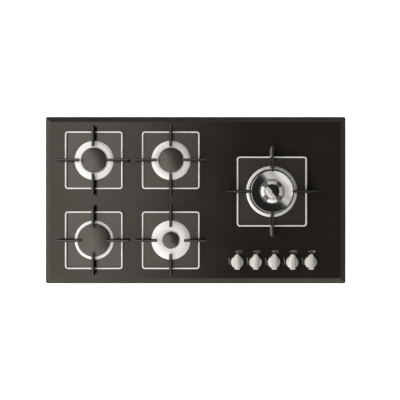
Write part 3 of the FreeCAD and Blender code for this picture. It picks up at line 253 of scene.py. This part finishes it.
# Enamel on the cast fingers, with painted shade and light: every flank is painted near black
# and reflects almost nothing, a painted shade. Flanks that face left and lie further than
# `half` millimetres in y from the burner's middle get a light grey instead, a painted
# highlight as if lit from the left; the small supports have none.
def makeFingerEnamel(name, slot, centre=(0, 0), half=1000):
    makeEnamel(name, slot, ("#1c1b18", "#201f1c"), (0.24, 0.32), 0.6, 0.006)
    tree = finishes[name].node_tree
    shader = tree.nodes["Principled BSDF"]
    face = shader.inputs["Base Color"].links[0].from_socket
    place = addNode(tree, "TexCoord").outputs["Object"]
    away = addNode(tree, "VectorMath", {
        0: place, 1: (centre[0] * metre, centre[1] * metre, 0)}, operation="SUBTRACT")
    away = addNode(tree, "VectorMath", {0: away}, operation="ABSOLUTE")
    far = addNode(tree, "SeparateXYZ", {"Vector": away}).outputs["Y"]
    outside = addNode(tree, "Math", {0: far, 1: half * metre}, operation="GREATER_THAN")
    facing = addNode(tree, "NewGeometry").outputs["Normal"]
    facing = addNode(tree, "SeparateXYZ", {"Vector": facing})
    flank = addNode(tree, "Math", {0: facing.outputs["Z"], 1: 0.8}, operation="LESS_THAN")
    left = addNode(tree, "Math", {0: facing.outputs["X"], 1: -0.95}, operation="LESS_THAN")
    paintedLightFlank = addNode(tree, "Math", {0: outside, 1: left}, operation="MULTIPLY")
    # painted shade: the flanks take a near-black colour
    paintedShadeFlanks = addNode(tree, "Mix", {0: flank, 6: face, 7: linearColour("#121211")},
                     data_type="RGBA")
    # painted highlight: left-facing flanks outside the wok frame take a light grey
    mixed = addNode(tree, "Mix", {
        0: paintedLightFlank, 6: paintedShadeFlanks.outputs[2], 7: linearColour("#a3a29e")}, data_type="RGBA")
    tree.links.new(mixed.outputs[2], shader.inputs["Base Color"])
    # the painted-shade flanks reflect almost nothing, the painted-light flanks reflect fully
    dull = addNode(tree, "Math", {0: flank, 1: paintedLightFlank}, operation="SUBTRACT")
    shine = addNode(tree, "MapRange", {"Value": dull, "To Min": 1.0, "To Max": 0.04})
    tree.links.new(shine.outputs[0], shader.inputs["Specular IOR Level"])


# Satin or brushed metal: a fine grain, drawn out to lines along a bar, that breaks up the
# reflection. Where the photo shows it near white it is only partly metallic.
def makeSatinSteel(name, slot, tones, gloss, line, stretch, depth, **more):
    tree, shader = newFinish(name, slot, tones[1], 1, gloss[1], **more)
    grainInto(tree, shader, line, stretch, tones, gloss, depth)


# Die-cast, turned and drawn metals: a fine sandy skin over a dull or clean shine.
def makeCast(name, slot, tones, gloss, sand, depth):
    tree, shader = newFinish(name, slot, tones[1], 1, gloss[1])
    grainInto(tree, shader, sand, evenly, tones, gloss, depth)


# Moulded plastic, foam, rubber and ink: dull, with a fine texture. Glazed ceramic is made
# here as well, with a gloss.
def makeMoulded(name, slot, tones, gloss, size, depth):
    tree, shader = newFinish(name, slot, tones[1], 0, gloss[1], IOR=1.5)
    grainInto(tree, shader, size, evenly, tones, gloss, depth)


# Zinc-coated sheet: flat crystals of different greys, a few millimetres wide.
def makeZincSheet(name, slot, tones, crystal):
    tree, shader = newFinish(name, slot, tones[1], 1, 0.4)
    grainInto(tree, shader, 0.8, evenly, tones, (0.3, 0.48), 0.004)
    place = addNode(tree, "TexCoord").outputs["Object"]
    cells = addNode(tree, "TexVoronoi", {"Vector": place, "Scale": 1 / (crystal * metre)})
    tone = addNode(tree, "SeparateColor", {"Color": cells.outputs["Color"]})
    colour = addNode(tree, "ValToRGB", {"Fac": tone}, [(0.0, tones[0]), (1.0, tones[1])])
    tree.links.new(colour.outputs[0], shader.inputs["Base Color"])


# glass and enamels: the face mirrors the sky, the trays and caps blur it
makeBlackGlass()
makeEnamel("mattTrayEnamel", "tray", ("#22201b", "#25231f"), (0.18, 0.25), 0.5, 0.003)
makeEnamel("satinCapEnamel", "cap", ("#32302c", "#383531"), (0.22, 0.28), 0.4, 0.003)
makeFingerEnamel("castIronEnamel", "finger")
# the wok fingers' left-facing outer flanks carry a painted highlight
makeFingerEnamel("paintedLightIronEnamel", "finger", burners["wok"]["at"],
                 frameShape["wokSpan"] / 2)
# satin steel: even and pale on the rings and frames, darker and glossier on the wok lids
makeSatinSteel("satinTrimSteel", "trim", ("#f8fafe", "#fdfeff"), (0.27, 0.33), 0.25,
               evenly, 0.002, Metallic=0.55)
makeSatinSteel("satinFrameSteel", "support_frame", ("#f8fafe", "#fdfeff"), (0.27, 0.33), 0.3,
               evenly, 0.002, Metallic=0.45)
makeSatinSteel("satinLidSteel", "wok_ring", ("#939496", "#9c9d9f"), (0.12, 0.18), 0.25,
               evenly, 0.001)
# brushed knobs: the lines are drawn 1.6 mm wide, coarser than real ones, so that they show
makeSatinSteel("brushedKnobMetal", "knob", ("#b5b2ae", "#feffff"), (0.3, 0.4), 1.6,
               alongBar, 0.01, Metallic=0.65)
# crowns and cups: sandy die-cast aluminium, bright on the crowns and a darker grey on the wok
# crown's narrow sectors; the cups are a near-black grey, a painted shade
makeCast("castCrown", "spreader", ("#dddbd7", "#f2f0ed"), (0.45, 0.6), 0.5, 0.008)
makeCast("dullCrown", "spreader", ("#6b6863", "#7d7a75"), (0.4, 0.55), 0.5, 0.008)
makeSatinSteel("machinedCrown", "spreader", ("#e6e8ec", "#f4f5f8"), (0.3, 0.4), 0.5, evenly,
               0.004, Metallic=0.6)
# painted shade: the cups' dark grey stands in for the shadowed band round the burners
makeCast("paintedShadeCup", "cup", ("#3a3632", "#4a4641"), (0.42, 0.6), 0.8, 0.02)
# gas parts below: grey castings, warm clean brass, turned and plated steel, drawn tube
makeCast("castTap", "tap", ("#8b8884", "#b5b2ac"), (0.38, 0.55), 0.6, 0.015)
makeCast("groundBrass", "plug", ("#a88543", "#c7a35c"), (0.22, 0.4), 0.4, 0.003)
makeCast("machinedBrass", "elbow", ("#a88543", "#c9a761"), (0.2, 0.38), 0.5, 0.004)
makeCast("jetBrass", "injector", ("#a88543", "#c9a761"), (0.2, 0.38), 0.4, 0.003)
makeCast("turnedSteel", "spindle", ("#8c8b89", "#b7b5b1"), (0.2, 0.38), 0.3, 0.002)
makeCast("sensorSteel", "sensor", ("#86827b", "#b0aba2"), (0.22, 0.4), 0.3, 0.002)
makeCast("platedScrew", "screw", ("#8f9091", "#bfbfbf"), (0.22, 0.4), 0.4, 0.003)
makeCast("drawnAluminium", "feed_tube", ("#a5a6a7", "#c6c7c8"), (0.25, 0.43), 0.7, 0.003)
makeCast("platedTube", "manifold", ("#8d8f92", "#b4b6b8"), (0.27, 0.45), 1.2, 0.003)
# zinc-coated sheet: cool grey with a soft spangle
makeZincSheet("zincPan", "pan", ("#8e9192", "#b6b9ba"), 7)
makeZincSheet("zincRail", "rail", ("#8a8d8f", "#b0b3b5"), 5)
makeZincSheet("zincBracket", "bracket", ("#8a8d8f", "#b0b3b5"), 5)
# dull blacks for foam and rubber, off-white for the module and the glazed ceramic, and
# grey ink that lies flat on the glass
makeMoulded("foamSeal", "seal", ("#121211", "#1d1c1b"), (0.79, 0.91), 0.6, 0.05)
makeMoulded("rubberFoot", "foot", ("#151514", "#1c1b1a"), (0.64, 0.76), 0.4, 0.01)
makeMoulded("glandPlastic", "gland", ("#181817", "#20201f"), (0.44, 0.56), 0.5, 0.01)
makeMoulded("modulePlastic", "module", ("#c8c6bf", "#d6d4cd"), (0.39, 0.51), 0.5, 0.01)
makeMoulded("glazedCeramic", "electrode", ("#ddd9d0", "#ece8df"), (0.12, 0.24), 1.5, 0.002)
makeMoulded("screenPrint", "glass", ("#a3a19d", "#b0aeaa"), (0.45, 0.55), 0.3, 0.0)
makeMoulded("screenPrintBright", "glass", ("#d6d4d0", "#e4e2de"), (0.45, 0.55), 0.3, 0.0)
print("finishes made,", len(finishes))

nodeFinish = {
    "glass_top": "toughenedBlackGlass", "worktop_seal": "foamSeal", "base_pan": "zincPan",
    "burner_trays": "mattTrayEnamel", "trim_rings": "satinTrimSteel", "burner_cups": "paintedShadeCup",
    "injectors": "jetBrass", "spark_electrodes": "glazedCeramic",
    "flame_sensors": "sensorSteel", "gas_taps": "castTap", "gas_manifold": "platedTube",
    "feed_tubes": "drawnAluminium", "inlet_elbow": "machinedBrass",
    "cable_gland": "glandPlastic", "support_rails": "zincRail",
    "clamp_brackets": "zincBracket", "fixing_screws": "platedScrew",
    "ignition_module": "modulePlastic", "wok_ring_cap": "satinLidSteel",
    "wok_inner_cap": "satinLidSteel", "wok_inner_spreader": "castCrown",
}
nodeFinish.update({name: "castCrown" for name in nodes if name.endswith("_flame_spreader")})
nodeFinish.update({name: "satinFrameSteel" for name in nodes if name.endswith("_frame")})
nodeFinish.update({name + "_support_fingers": "castIronEnamel" for name in burners})
nodeFinish["wok_support_fingers"] = "paintedLightIronEnamel"
nodeFinish.update({name: "rubberFoot" for name in nodes if name.endswith("_feet")})
nodeFinish.update({name: "brushedKnobMetal" for name in nodes if name.startswith("knob_")})
nodeFinish.update({name: "turnedSteel" for name in nodes if name.startswith("spindle_")})
nodeFinish.update({name: "groundBrass" for name in nodes if name.startswith("tap_plug_")})
nodeFinish.update({
    name: "satinCapEnamel" for name in nodes
    if name.endswith("_cap") and not name.startswith("wok")
})
for name, finish in nodeFinish.items():
    for holder in nodes[name].material_slots:
        holder.material = finishes[finish]
print("CAD nodes dressed,", len(nodeFinish))


# caps and the wok burner's lids

rimShape = {"wall": 2.5, "depth": 3, "rounds": [0.3, 0.4, 0.4, 0.3]}
capShape = {"under": 26, "edge": 3, "rise": 3, "round": 1.5, "overhang": 3, "wall": 8,
            "rimGap": 0.4, "lip": 0.5, "domeFrom": 0.93}


def lidOutline(radius, under, edge, rise, rim, shoulderRound, lip, domeFrom):
    # half of a section, from the middle below to the middle above: a locating rim, an
    # upright edge, a rounded shoulder, then a dome whose height falls with the square of
    # r over the radius
    shoulder, inside = under + edge, rim - rimShape["wall"]
    r = np.linspace(domeFrom, 0, 22) * radius
    dome = np.stack([r, shoulder + rise * (1 - (r / radius) ** 2)], axis=1)
    corners = np.concatenate([[
        (0, under), (inside, under), (inside, under - rimShape["depth"]),
        (rim, under - rimShape["depth"]), (rim, under), (radius, under),
        (radius, shoulder),
    ], dome])
    radii = [0, *rimShape["rounds"], lip, shoulderRound] + [0] * len(dome)
    return filletOutline(corners, radii, closed=False)


def makeCap(name):
    shape, burner = capShape, burners[name]
    rim = burner["cap"] - shape["overhang"] - shape["wall"] - shape["rimGap"]
    profile = lidOutline(burner["cap"], shape["under"], shape["edge"], shape["rise"], rim,
                         shape["round"], shape["lip"], shape["domeFrom"])
    turnedPiece(name + "_lid", profile, burner["at"], "satinCapEnamel", "cap_" + name,
                [name + "_cap"])


for name in ("left_rear", "left_front", "middle_rear", "middle_front"):
    makeCap(name)

dishShape = {"inner": 37.8, "outer": burners["wok"]["cap"], "wellTop": 25.5,
             "innerTop": 29, "crownTop": 34, "outerTop": 37, "rim": 55.1, "rimDepth": 3,
             "seat": 41.9, "dish": 0.5, "rounds": [0.4, 0.3, 0.4, 0.3, 0.4, 2.2],
             "lastRound": 0.3, "around": 180}


def makeWokDish():
    # A ring turned from a half section whose face falls inwards, hollowed by a sine.
    shape = dishShape
    t = np.linspace(0.1, 0.98, 16)
    r = shape["outer"] + (shape["inner"] - shape["outer"]) * t
    z = shape["outerTop"] + (shape["innerTop"] - shape["outerTop"]) * t
    z = z - shape["dish"] * np.sin(math.pi * t)
    corners = np.concatenate([[
        (shape["inner"], shape["wellTop"]), (shape["seat"], shape["wellTop"]),
        (shape["rim"], shape["crownTop"] - shape["rimDepth"]),
        (shape["rim"], shape["crownTop"]), (shape["outer"], shape["crownTop"]),
        (shape["outer"], shape["outerTop"]),
    ], np.stack([r, z], axis=1), [(shape["inner"], shape["innerTop"])]])
    radii = shape["rounds"] + [0] * len(t) + [shape["lastRound"]]
    profile = filletOutline(corners, radii, steps=5)
    turnedPiece("wok_ring_lid", profile, burners["wok"]["at"], "satinLidSteel",
                "cap_wok_ring", ["wok_ring_cap"], closed=True, segments=shape["around"])


wokLidShape = {"radius": 21.4, "under": 29, "edge": 3.5, "rise": 5.5, "rim": 17.6,
               "round": 0.7, "lip": 0.4, "domeFrom": 0.95}


def makeWokLid():
    shape = wokLidShape
    profile = lidOutline(shape["radius"], shape["under"], shape["edge"], shape["rise"],
                         shape["rim"], shape["round"], shape["lip"], shape["domeFrom"])
    turnedPiece("wok_inner_lid", profile, burners["wok"]["at"], "satinLidSteel",
                "cap_wok_inner", ["wok_inner_cap"])


crownShape = {
    "inner": 22.2, "outer": 33.8, "foot": 25.2, "fall": 2, "gap": 1.6, "round": 0.6,
    "floor": [(8, 15.5), (20, 15.5), (20, 21.5), (35, 25), (35, 26.5), (21.8, 27),
              (21.8, 28.4), (18, 28.4), (18, 18), (8, 18)],
    "floorRounds": [0.2, 0.2, 1, 0.4, 0.4, 0.2, 0.3, 0.2, 0.2, 0.2],
    "sectors": [{"width": 60, "first": 0, "top": 31.4, "finish": "machinedCrown"},
                {"width": 30, "first": 45, "top": 30.4, "finish": "dullCrown"}],
}


def makeWokCrown():
    # The crown's floor is turned. On it stand four wide and four narrow sectors with dark
    # gaps between them; their tops fall outwards with the square of the share of the way.
    shape, at = crownShape, burners["wok"]["at"]
    profile = filletOutline(shape["floor"], shape["floorRounds"])
    # the crown floor takes the cups' painted shade, so the gaps between the sectors read dark
    turnedPiece("wok_crown_floor", profile, at, "paintedShadeCup", "spreader_wok_inner",
                ["wok_inner_spreader"], closed=True)
    across = 21
    for sector in shape["sectors"]:
        t = np.linspace(0, 1, 8)
        r = shape["outer"] + (shape["inner"] - shape["outer"]) * t
        z = sector["top"] - shape["fall"] * (1 - t) ** 2
        corners = np.concatenate([
            [(shape["inner"], shape["foot"]), (shape["outer"], shape["foot"])],
            np.stack([r, z], axis=1)])
        radii = [0, 0, shape["round"]] + [0] * (len(t) - 2) + [shape["round"]]
        profile = filletOutline(corners, radii, steps=4)
        radius, height = profile[:, 0:1], profile[:, 1:2]
        half = math.radians(sector["width"] / 2) - shape["gap"] / 2 / radius
        points, faces, rows = [], [], len(profile)
        for quarter in range(4):
            middle = math.radians(sector["first"] + 90 * quarter)
            sweep = middle + half * np.linspace(-1, 1, across)
            start = sum(len(part) for part in points)
            points.append(np.stack([
                at[0] + radius * np.cos(sweep), at[1] + radius * np.sin(sweep),
                np.broadcast_to(height, sweep.shape)], axis=-1).reshape(-1, 3))
            faces += gridFaces(rows, across, True, False, start)
            for edge in (0, across - 1):
                faces.append((start + edge + across * np.arange(rows)).tolist())
        makePiece("wok_crown_" + sector["finish"], np.concatenate(points), faces,
                  sector["finish"], "spreader_wok_inner")


makeWokDish()
makeWokLid()
makeWokCrown()
print("lids made")

ringShape = {"under": 11, "top": 12.5, "slope": 0.012, "wokSlope": 0.045, "rim": 58.5,
             "wokRim": 76.3, "gap": -0.8, "wokGap": 3.5, "rounds": [0.1, 0.1, 0.3, 0.15]}


def makeTrimRings():
    # Rings spun from sheet, each a shallow cone that falls towards its rounded outer edge.
    shape, points, faces = ringShape, [], []
    for name, burner in burners.items():
        hole = burner["cap"] + shape["wokGap" if name == "wok" else "gap"]
        rim = shape["wokRim" if name == "wok" else "rim"]
        fall = (rim - hole) * shape["wokSlope" if name == "wok" else "slope"]
        profile = filletOutline(
            [(hole, shape["under"]), (rim, shape["under"]), (rim, shape["top"] - fall),
             (hole, shape["top"])], shape["rounds"])
        start = sum(len(part) for part in points)
        points.append(turnedPoints(profile, burner["at"]).reshape(-1, 3))
        faces += gridFaces(len(profile), around, True, True, start)
    makePiece("trim_rings_spun", np.concatenate(points), faces, "satinTrimSteel", "hob",
              ["trim_rings"])


makeTrimRings()
print("trim rings made")


# pan supports

def makeSupportFrame(name):
    # A small rounded section carried round a square with rounded corners:
    # point = path + across * outward, at the section's height, where outward points from
    # the centre of the corner's arc to the path.
    shape, at = frameShape, burners[name]["at"]
    half = shape["wokSpan" if name == "wok" else "span"] / 2
    square = [(half, -half), (half, half), (-half, half), (-half, -half)]
    radius = shape["corner"] - shape["bar"] / 2
    path = filletOutline(square, radius, steps=10)
    outward = (path - np.sign(path) * (half - radius)) / radius
    bar = shape["bar"] / 2
    section = filletOutline(
        [(-bar, shape["under"]), (bar, shape["under"]), (bar, shape["top"]),
         (-bar, shape["top"])], shape["round"], steps=5)
    xy = path[:, None] + section[None, :, 0:1] * outward[:, None]
    z = np.broadcast_to(section[None, :, 1:2], (*xy.shape[:2], 1))
    points = np.concatenate([xy + np.array(at), z], axis=2)
    makePiece(name + "_frame", points, gridFaces(len(path), len(section), True, True),
              "satinFrameSteel", "pan_support_" + name, [name + "_support_frame"])


fingerShape = {
    "inner": 39.5, "outer": 105, "heelIn": 23, "tip": 10,
    "lean": 8, "leg": 18, "gap": 0.1, "base": 13, "top": 55,
    "width": [(13, 10), (35, 9.2), (46, 8.2), (52, 7.2), (54.4, 5.6), (55, 4.4)],
}
wokFingerShape = {**fingerShape, "inner": 57, "outer": 134.5, "heelIn": 30, "tip": 9}


def makeFingers(name):
    # Each finger is cast iron drawn in towards its top. At the height z it is a slab from
    # u0(z) to u1(z) along its arm, as wide as the width curve says, and in the wok support
    # its inner end is pointed. Below the frame's top it stands on two legs.
    wok, at = name == "wok", burners[name]["at"]
    shape = wokFingerShape if wok else fingerShape
    middle = frameShape["wokSpan" if wok else "span"] / 2
    near = middle - frameShape["bar"] / 2 - shape["gap"]
    far = middle + frameShape["bar"] / 2 + shape["gap"]
    base, top, under = shape["base"], shape["top"], frameShape["top"]
    reachFrom, reachTo = base + shape["leg"], top - shape["tip"]
    heights, widths = zip(*shape["width"])
    legs = np.linspace(base, under, 4)
    arm = np.unique(np.concatenate([[under, reachFrom, reachTo], heights[1:]]))
    points, faces = [], []
    for z, ends in ((legs, "heel"), (legs, "toe"), (arm, "arm")):
        half = np.interp(z, heights, widths) / 2
        heel = np.interp(z, [reachFrom, reachTo], [near - shape["heelIn"], shape["inner"]])
        toe = shape["outer"] - shape["lean"] * (top - z) / (top - base)
        u0 = np.full_like(z, far) if ends == "toe" else heel
        u1 = np.full_like(z, near) if ends == "heel" else toe
        point = half if wok and ends == "arm" else np.zeros_like(z)
        u = np.stack([u0, u0 + point, u1, u1, u0 + point], axis=1)
        v = np.stack([0 * half, half, half, -half, -half], axis=1)
        for way in ((1, 0), (0, 1), (-1, 0), (0, -1)):
            x = at[0] + u * way[0] - v * way[1]
            y = at[1] + u * way[1] + v * way[0]
            start = sum(len(part) for part in points)
            points.append(np.stack([x, y, np.broadcast_to(z[:, None], x.shape)],
                                   axis=-1).reshape(-1, 3))
            faces += gridFaces(len(z), 5, False, True, start)
            for level in (0, len(z) - 1):
                faces.append((start + level * 5 + np.arange(5)).tolist())
    makePiece(name + "_fingers", np.concatenate(points), faces,
              "paintedLightIronEnamel" if wok else "castIronEnamel", "pan_support_" + name,
              [name + "_support_fingers"])


for name in burners:
    makeSupportFrame(name)
    makeFingers(name)
print("pan supports made")


# knobs, and the marks beside them

knobShape = {
    "first": 124, "pitch": 55, "row": -185, "under": 14.5, "skirtTop": 23.5, "top": 36.5,
    "radius": 19.2, "slope": 1.2, "wall": 2, "hub": 7, "cavity": 6, "bore": 4.05,
    "gripWidth": 16, "gripEnd": 15, "gripTip": 7, "gripFront": 21, "gripRear": 25,
    "gripTaper": 6, "gripRound": 1.5, "gripSunk": 0.4, "roof": 0.5, "around": 96,
    "skirtRounds": [0, 1.0, 0.4, 0.4, 0.8, 0.8, 0.4, 0.3, 0.2, 0],
    "gripRounds": [1.6, 1.6, 30, 4, 3, 3, 4, 30],
}


def makeKnob(number):
    # The skirt is turned. The grip is one outline carried up, and drawn in along a
    # quarter circle at its top edge.
    shape = knobShape
    at = np.array([shape["first"] + shape["pitch"] * (number - 1), shape["row"]])
    under, skirtTop = shape["under"], shape["skirtTop"]
    outer = shape["radius"]
    corners = [
        (0, skirtTop), (outer - shape["slope"], skirtTop), (outer, under),
        (outer - shape["wall"], under),
        (outer - shape["wall"] - shape["slope"], under + shape["cavity"]),
        (shape["hub"], under + shape["cavity"]), (shape["hub"], under),
        (shape["bore"], under), (shape["bore"], skirtTop - shape["roof"]),
        (0, skirtTop - shape["roof"]),
    ]
    profile = filletOutline(corners, shape["skirtRounds"], closed=False)
    points = turnedPoints(profile, at, shape["around"]).reshape(-1, 3)
    faces = gridFaces(len(profile), shape["around"], False, True)

    width, end, tip = shape["gripWidth"] / 2, shape["gripEnd"] / 2, shape["gripTip"] / 2
    front, rear, taper = shape["gripFront"], shape["gripRear"], shape["gripTaper"]
    outline = filletOutline(
        [(-end, -front), (end, -front), (width, -front / 2), (width, rear - taper),
         (tip, rear), (-tip, rear), (-width, rear - taper), (-width, -front / 2)],
        shape["gripRounds"], steps=8)
    along = np.roll(outline, -1, axis=0) - np.roll(outline, 1, axis=0)
    along /= np.linalg.norm(along, axis=1, keepdims=True)
    inward = np.stack([-along[:, 1], along[:, 0]], axis=1)
    turn, edge = np.linspace(0, math.pi / 2, 7), shape["gripRound"]
    inset = np.concatenate([[0], edge * (1 - np.cos(turn))])
    height = np.concatenate([
        [skirtTop - shape["gripSunk"]], shape["top"] - edge + edge * np.sin(turn)])
    ring = outline[None] + inset[:, None, None] * inward[None] + at
    z = np.broadcast_to(height[:, None, None], (*ring.shape[:2], 1))
    grip = np.concatenate([ring, z], axis=2).reshape(-1, 3)
    start, count, rows = len(points), len(outline), len(height)
    faces += gridFaces(rows, count, False, True, start)
    faces.append((start + (rows - 1) * count + np.arange(count)).tolist())
    faces.append((start + np.arange(count)[::-1]).tolist())
    points = np.concatenate([points, grip])
    makePiece("knob_%d_turned" % number, points, faces, "brushedKnobMetal",
              "control_%d" % number, ["knob_%d" % number])


for number in range(1, 6):
    makeKnob(number)
print("knobs made")

markShape = {
    "height": 10.04, "line": 0.45, "dot": 1.4, "dotAt": (-4, 31), "flameAt": (-24, 9),
    "flame": 1.7, "arcRadius": 23, "arcFrom": 168, "arcTo": 206, "arcWidths": (1.8, 0.4),
    "planAt": (7, 30.5), "planSize": (15, 8), "planRound": 1.2, "planLine": 0.5,
    "ownMore": 0.35, "serves": [1, 3, 0, 2, 4],
    "spots": [(-5.0, 2.2, 1.1), (-5.0, -2.2, 1.1), (-0.8, 2.2, 1.1), (-0.8, -2.2, 1.1),
              (4.6, 0.4, 1.7)],
}


def makeMarks(number):
    # Flat prints a hair above the glass: a dot, a flame spot, a wedge that thins along an
    # arc, and a small plan of the burners with the one that the knob serves filled in.
    # Each round one is x = cx + r cos a, y = cy + r sin a.
    shape = markShape
    at = np.array([knobShape["first"] + knobShape["pitch"] * (number - 1), knobShape["row"]])
    angle = np.linspace(0, 2 * math.pi, 20, endpoint=False)
    ring = np.stack([np.cos(angle), np.sin(angle)], axis=1)
    dull, bright = [], []

    def disc(where, centre, radius):
        where.append(("disc", np.asarray(centre) + ring * radius + at))

    def hoop(where, centre, radius):
        radii = (radius - shape["line"], radius)
        where.append(("band", np.stack([np.asarray(centre) + ring * r + at for r in radii])))

    disc(bright, shape["dotAt"], shape["dot"])
    disc(dull, shape["flameAt"], shape["flame"])
    corners = np.array([(-1, -1), (1, -1), (1, 1), (-1, 1)]) / 2
    size = np.array(shape["planSize"])
    line = shape["planLine"]
    outer = filletOutline(corners * size, shape["planRound"], steps=5)
    inner = filletOutline(corners * (size - 2 * line), shape["planRound"] - line, steps=5)
    dull.append(("band", np.stack([outer, inner]) + shape["planAt"] + at))
    for index, (x, y, radius) in enumerate(shape["spots"]):
        centre = (shape["planAt"][0] + x, shape["planAt"][1] + y)
        if index == shape["serves"][number - 1]:
            disc(bright, centre, radius + shape["ownMore"])
        else:
            hoop(dull, centre, radius)
    sweep = np.radians(np.linspace(shape["arcFrom"], shape["arcTo"], 16))
    way = np.stack([np.cos(sweep), np.sin(sweep)], axis=1)
    half = np.linspace(*shape["arcWidths"], 16)[:, None] / 2
    wedge = np.stack([way * (shape["arcRadius"] - half), way * (shape["arcRadius"] + half)])
    dull.append(("strip", wedge + at))

    for finish, prints in (("screenPrint", dull), ("screenPrintBright", bright)):
        points, faces = [], []
        for kind, shapePoints in prints:
            start = sum(len(part) for part in points)
            flat = shapePoints.reshape(-1, 2)
            if kind == "disc":
                faces.append((start + np.arange(len(flat))).tolist())
            else:
                faces += gridFaces(2, shapePoints.shape[1], False, kind == "band", start)
            points.append(flat)
        flat = np.concatenate(points)
        lifted = np.column_stack([flat, np.full(len(flat), shape["height"])])
        makePiece("marks_%d_%s" % (number, "dull" if finish == "screenPrint" else "bright"),
                  lifted, faces, finish, "hob", flat=True)


for number in range(1, 6):
    makeMarks(number)
print("marks printed")


# floor, light and camera

floorShape = {"size": 120000, "height": -46.3, "glow": 0.85, "roughness": 0.9}


def makeFloor():
    # a pale sheet that shines a little by itself, so that no shadow on it turns dark
    material = bpy.data.materials.new("paleFloor")
    material.use_nodes = True
    tree = material.node_tree
    shader = tree.nodes["Principled BSDF"]
    shader.inputs["Base Color"].default_value = linearColour("#f4f4f2")
    shader.inputs["Roughness"].default_value = floorShape["roughness"]
    shader.inputs["Emission Color"].default_value = linearColour("#ffffff")
    shader.inputs["Emission Strength"].default_value = floorShape["glow"]
    half, z = floorShape["size"] * metre / 2, floorShape["height"] * metre
    mesh = bpy.data.meshes.new("floor")
    mesh.from_pydata(
        [(-half, -half, z), (half, -half, z), (half, half, z), (-half, half, z)], [],
        [(0, 1, 2, 3)])
    mesh.materials.append(material)
    floor = bpy.data.objects.new("floor", mesh)
    scene.collection.objects.link(floor)


makeFloor()

# A studio with one broad soft panel on the left, as a sky over x (right), y (rear) and z.
# Its light falls off just past the zenith, so a flat face grows darker to the right. Away
# from the zenith the panel's edge runs off askew, to the front right. It is dark near the
# horizon, where a low pale band joins the floor.
skyShape = {
    "left": [(-1.0, 0.9), (-0.63, 2.0), (-0.55, 2.0), (-0.46, 1.25), (-0.36, 0.85),
             (-0.28, 1.1), (-0.12, 1.57), (-0.075, 1.18), (-0.055, 0.92), (0.009, 0.24),
             (0.036, 0.08), (0.056, 0.02), (1.0, 0.02)],
    "above": [(-1.0, 0.15), (0.1, 0.15), (0.45, 1.0), (1.0, 1.0)],
    "low": [(-1.0, 1.1), (0.01, 1.1), (0.04, 0.015), (1.0, 0.015)],
    "upright": 0.12, "full": 3.0, "strength": 1.28,
    "tint": (1.0, 0.955, 0.89, 1.0),
}


def makeSky():
    # light = left(x + y - y held within the upright part) * above(z) + low(z)
    world = bpy.data.worlds.new("softStudio")
    scene.world = world
    world.use_nodes = True
    tree = world.node_tree
    way = addNode(tree, "TexCoord").outputs["Generated"]
    parts = addNode(tree, "SeparateXYZ", {"Vector": way})
    held = addNode(tree, "Clamp", {
        "Value": parts.outputs["Y"], "Min": -skyShape["upright"], "Max": skyShape["upright"]})
    askew = addNode(tree, "Math", {0: parts.outputs["Y"], 1: held}, operation="SUBTRACT")
    across = addNode(tree, "Math", {0: parts.outputs["X"], 1: askew}, operation="ADD")
    shares = {}
    for name, source, top in (("left", across, skyShape["full"]),
                              ("above", parts.outputs["Z"], 1.0),
                              ("low", parts.outputs["Z"], skyShape["full"])):
        share = addNode(tree, "MapRange", {"Value": source, "From Min": -1.0, "From Max": 1.0})
        stops = [((place + 1) / 2, (*[light / top] * 3, 1.0))
                 for place, light in skyShape[name]]
        shares[name] = addNode(tree, "ValToRGB", {"Fac": share}, stops)
    light = addNode(tree, "Math", {
        0: shares["left"], 1: shares["above"], 2: shares["low"]}, operation="MULTIPLY_ADD")
    tinted = addNode(tree, "Mix", {
        0: light, 6: (0, 0, 0, 1), 7: skyShape["tint"]}, data_type="RGBA")
    back = tree.nodes["Background"]
    tree.links.new(tinted.outputs[2], back.inputs["Color"])
    back.inputs["Strength"].default_value = skyShape["full"] * skyShape["strength"]


makeSky()

# The camera looks straight down from `height` above the level of the bevel's edge. Its
# lens makes one pixel there as many millimetres wide as the photo's scale says.
cameraShape = {"height": 2700, "level": 6.5, "perPixel": 3.003, "middle": (13.1, 0.6),
               "sensor": 36.0, "pixels": 400, "farthest": 300}


def makeCamera():
    shape = cameraShape
    data = bpy.data.cameras.new("camera")
    data.sensor_width = shape["sensor"]
    data.lens = shape["sensor"] * shape["height"] / (shape["perPixel"] * shape["pixels"])
    data.clip_end = shape["farthest"]
    camera = bpy.data.objects.new("camera", data)
    x, y = shape["middle"]
    camera.location = (x * metre, y * metre, (shape["height"] + shape["level"]) * metre)
    scene.collection.objects.link(camera)
    scene.camera = camera


makeCamera()
scene.view_settings.view_transform = "Standard"

print("scene ready")
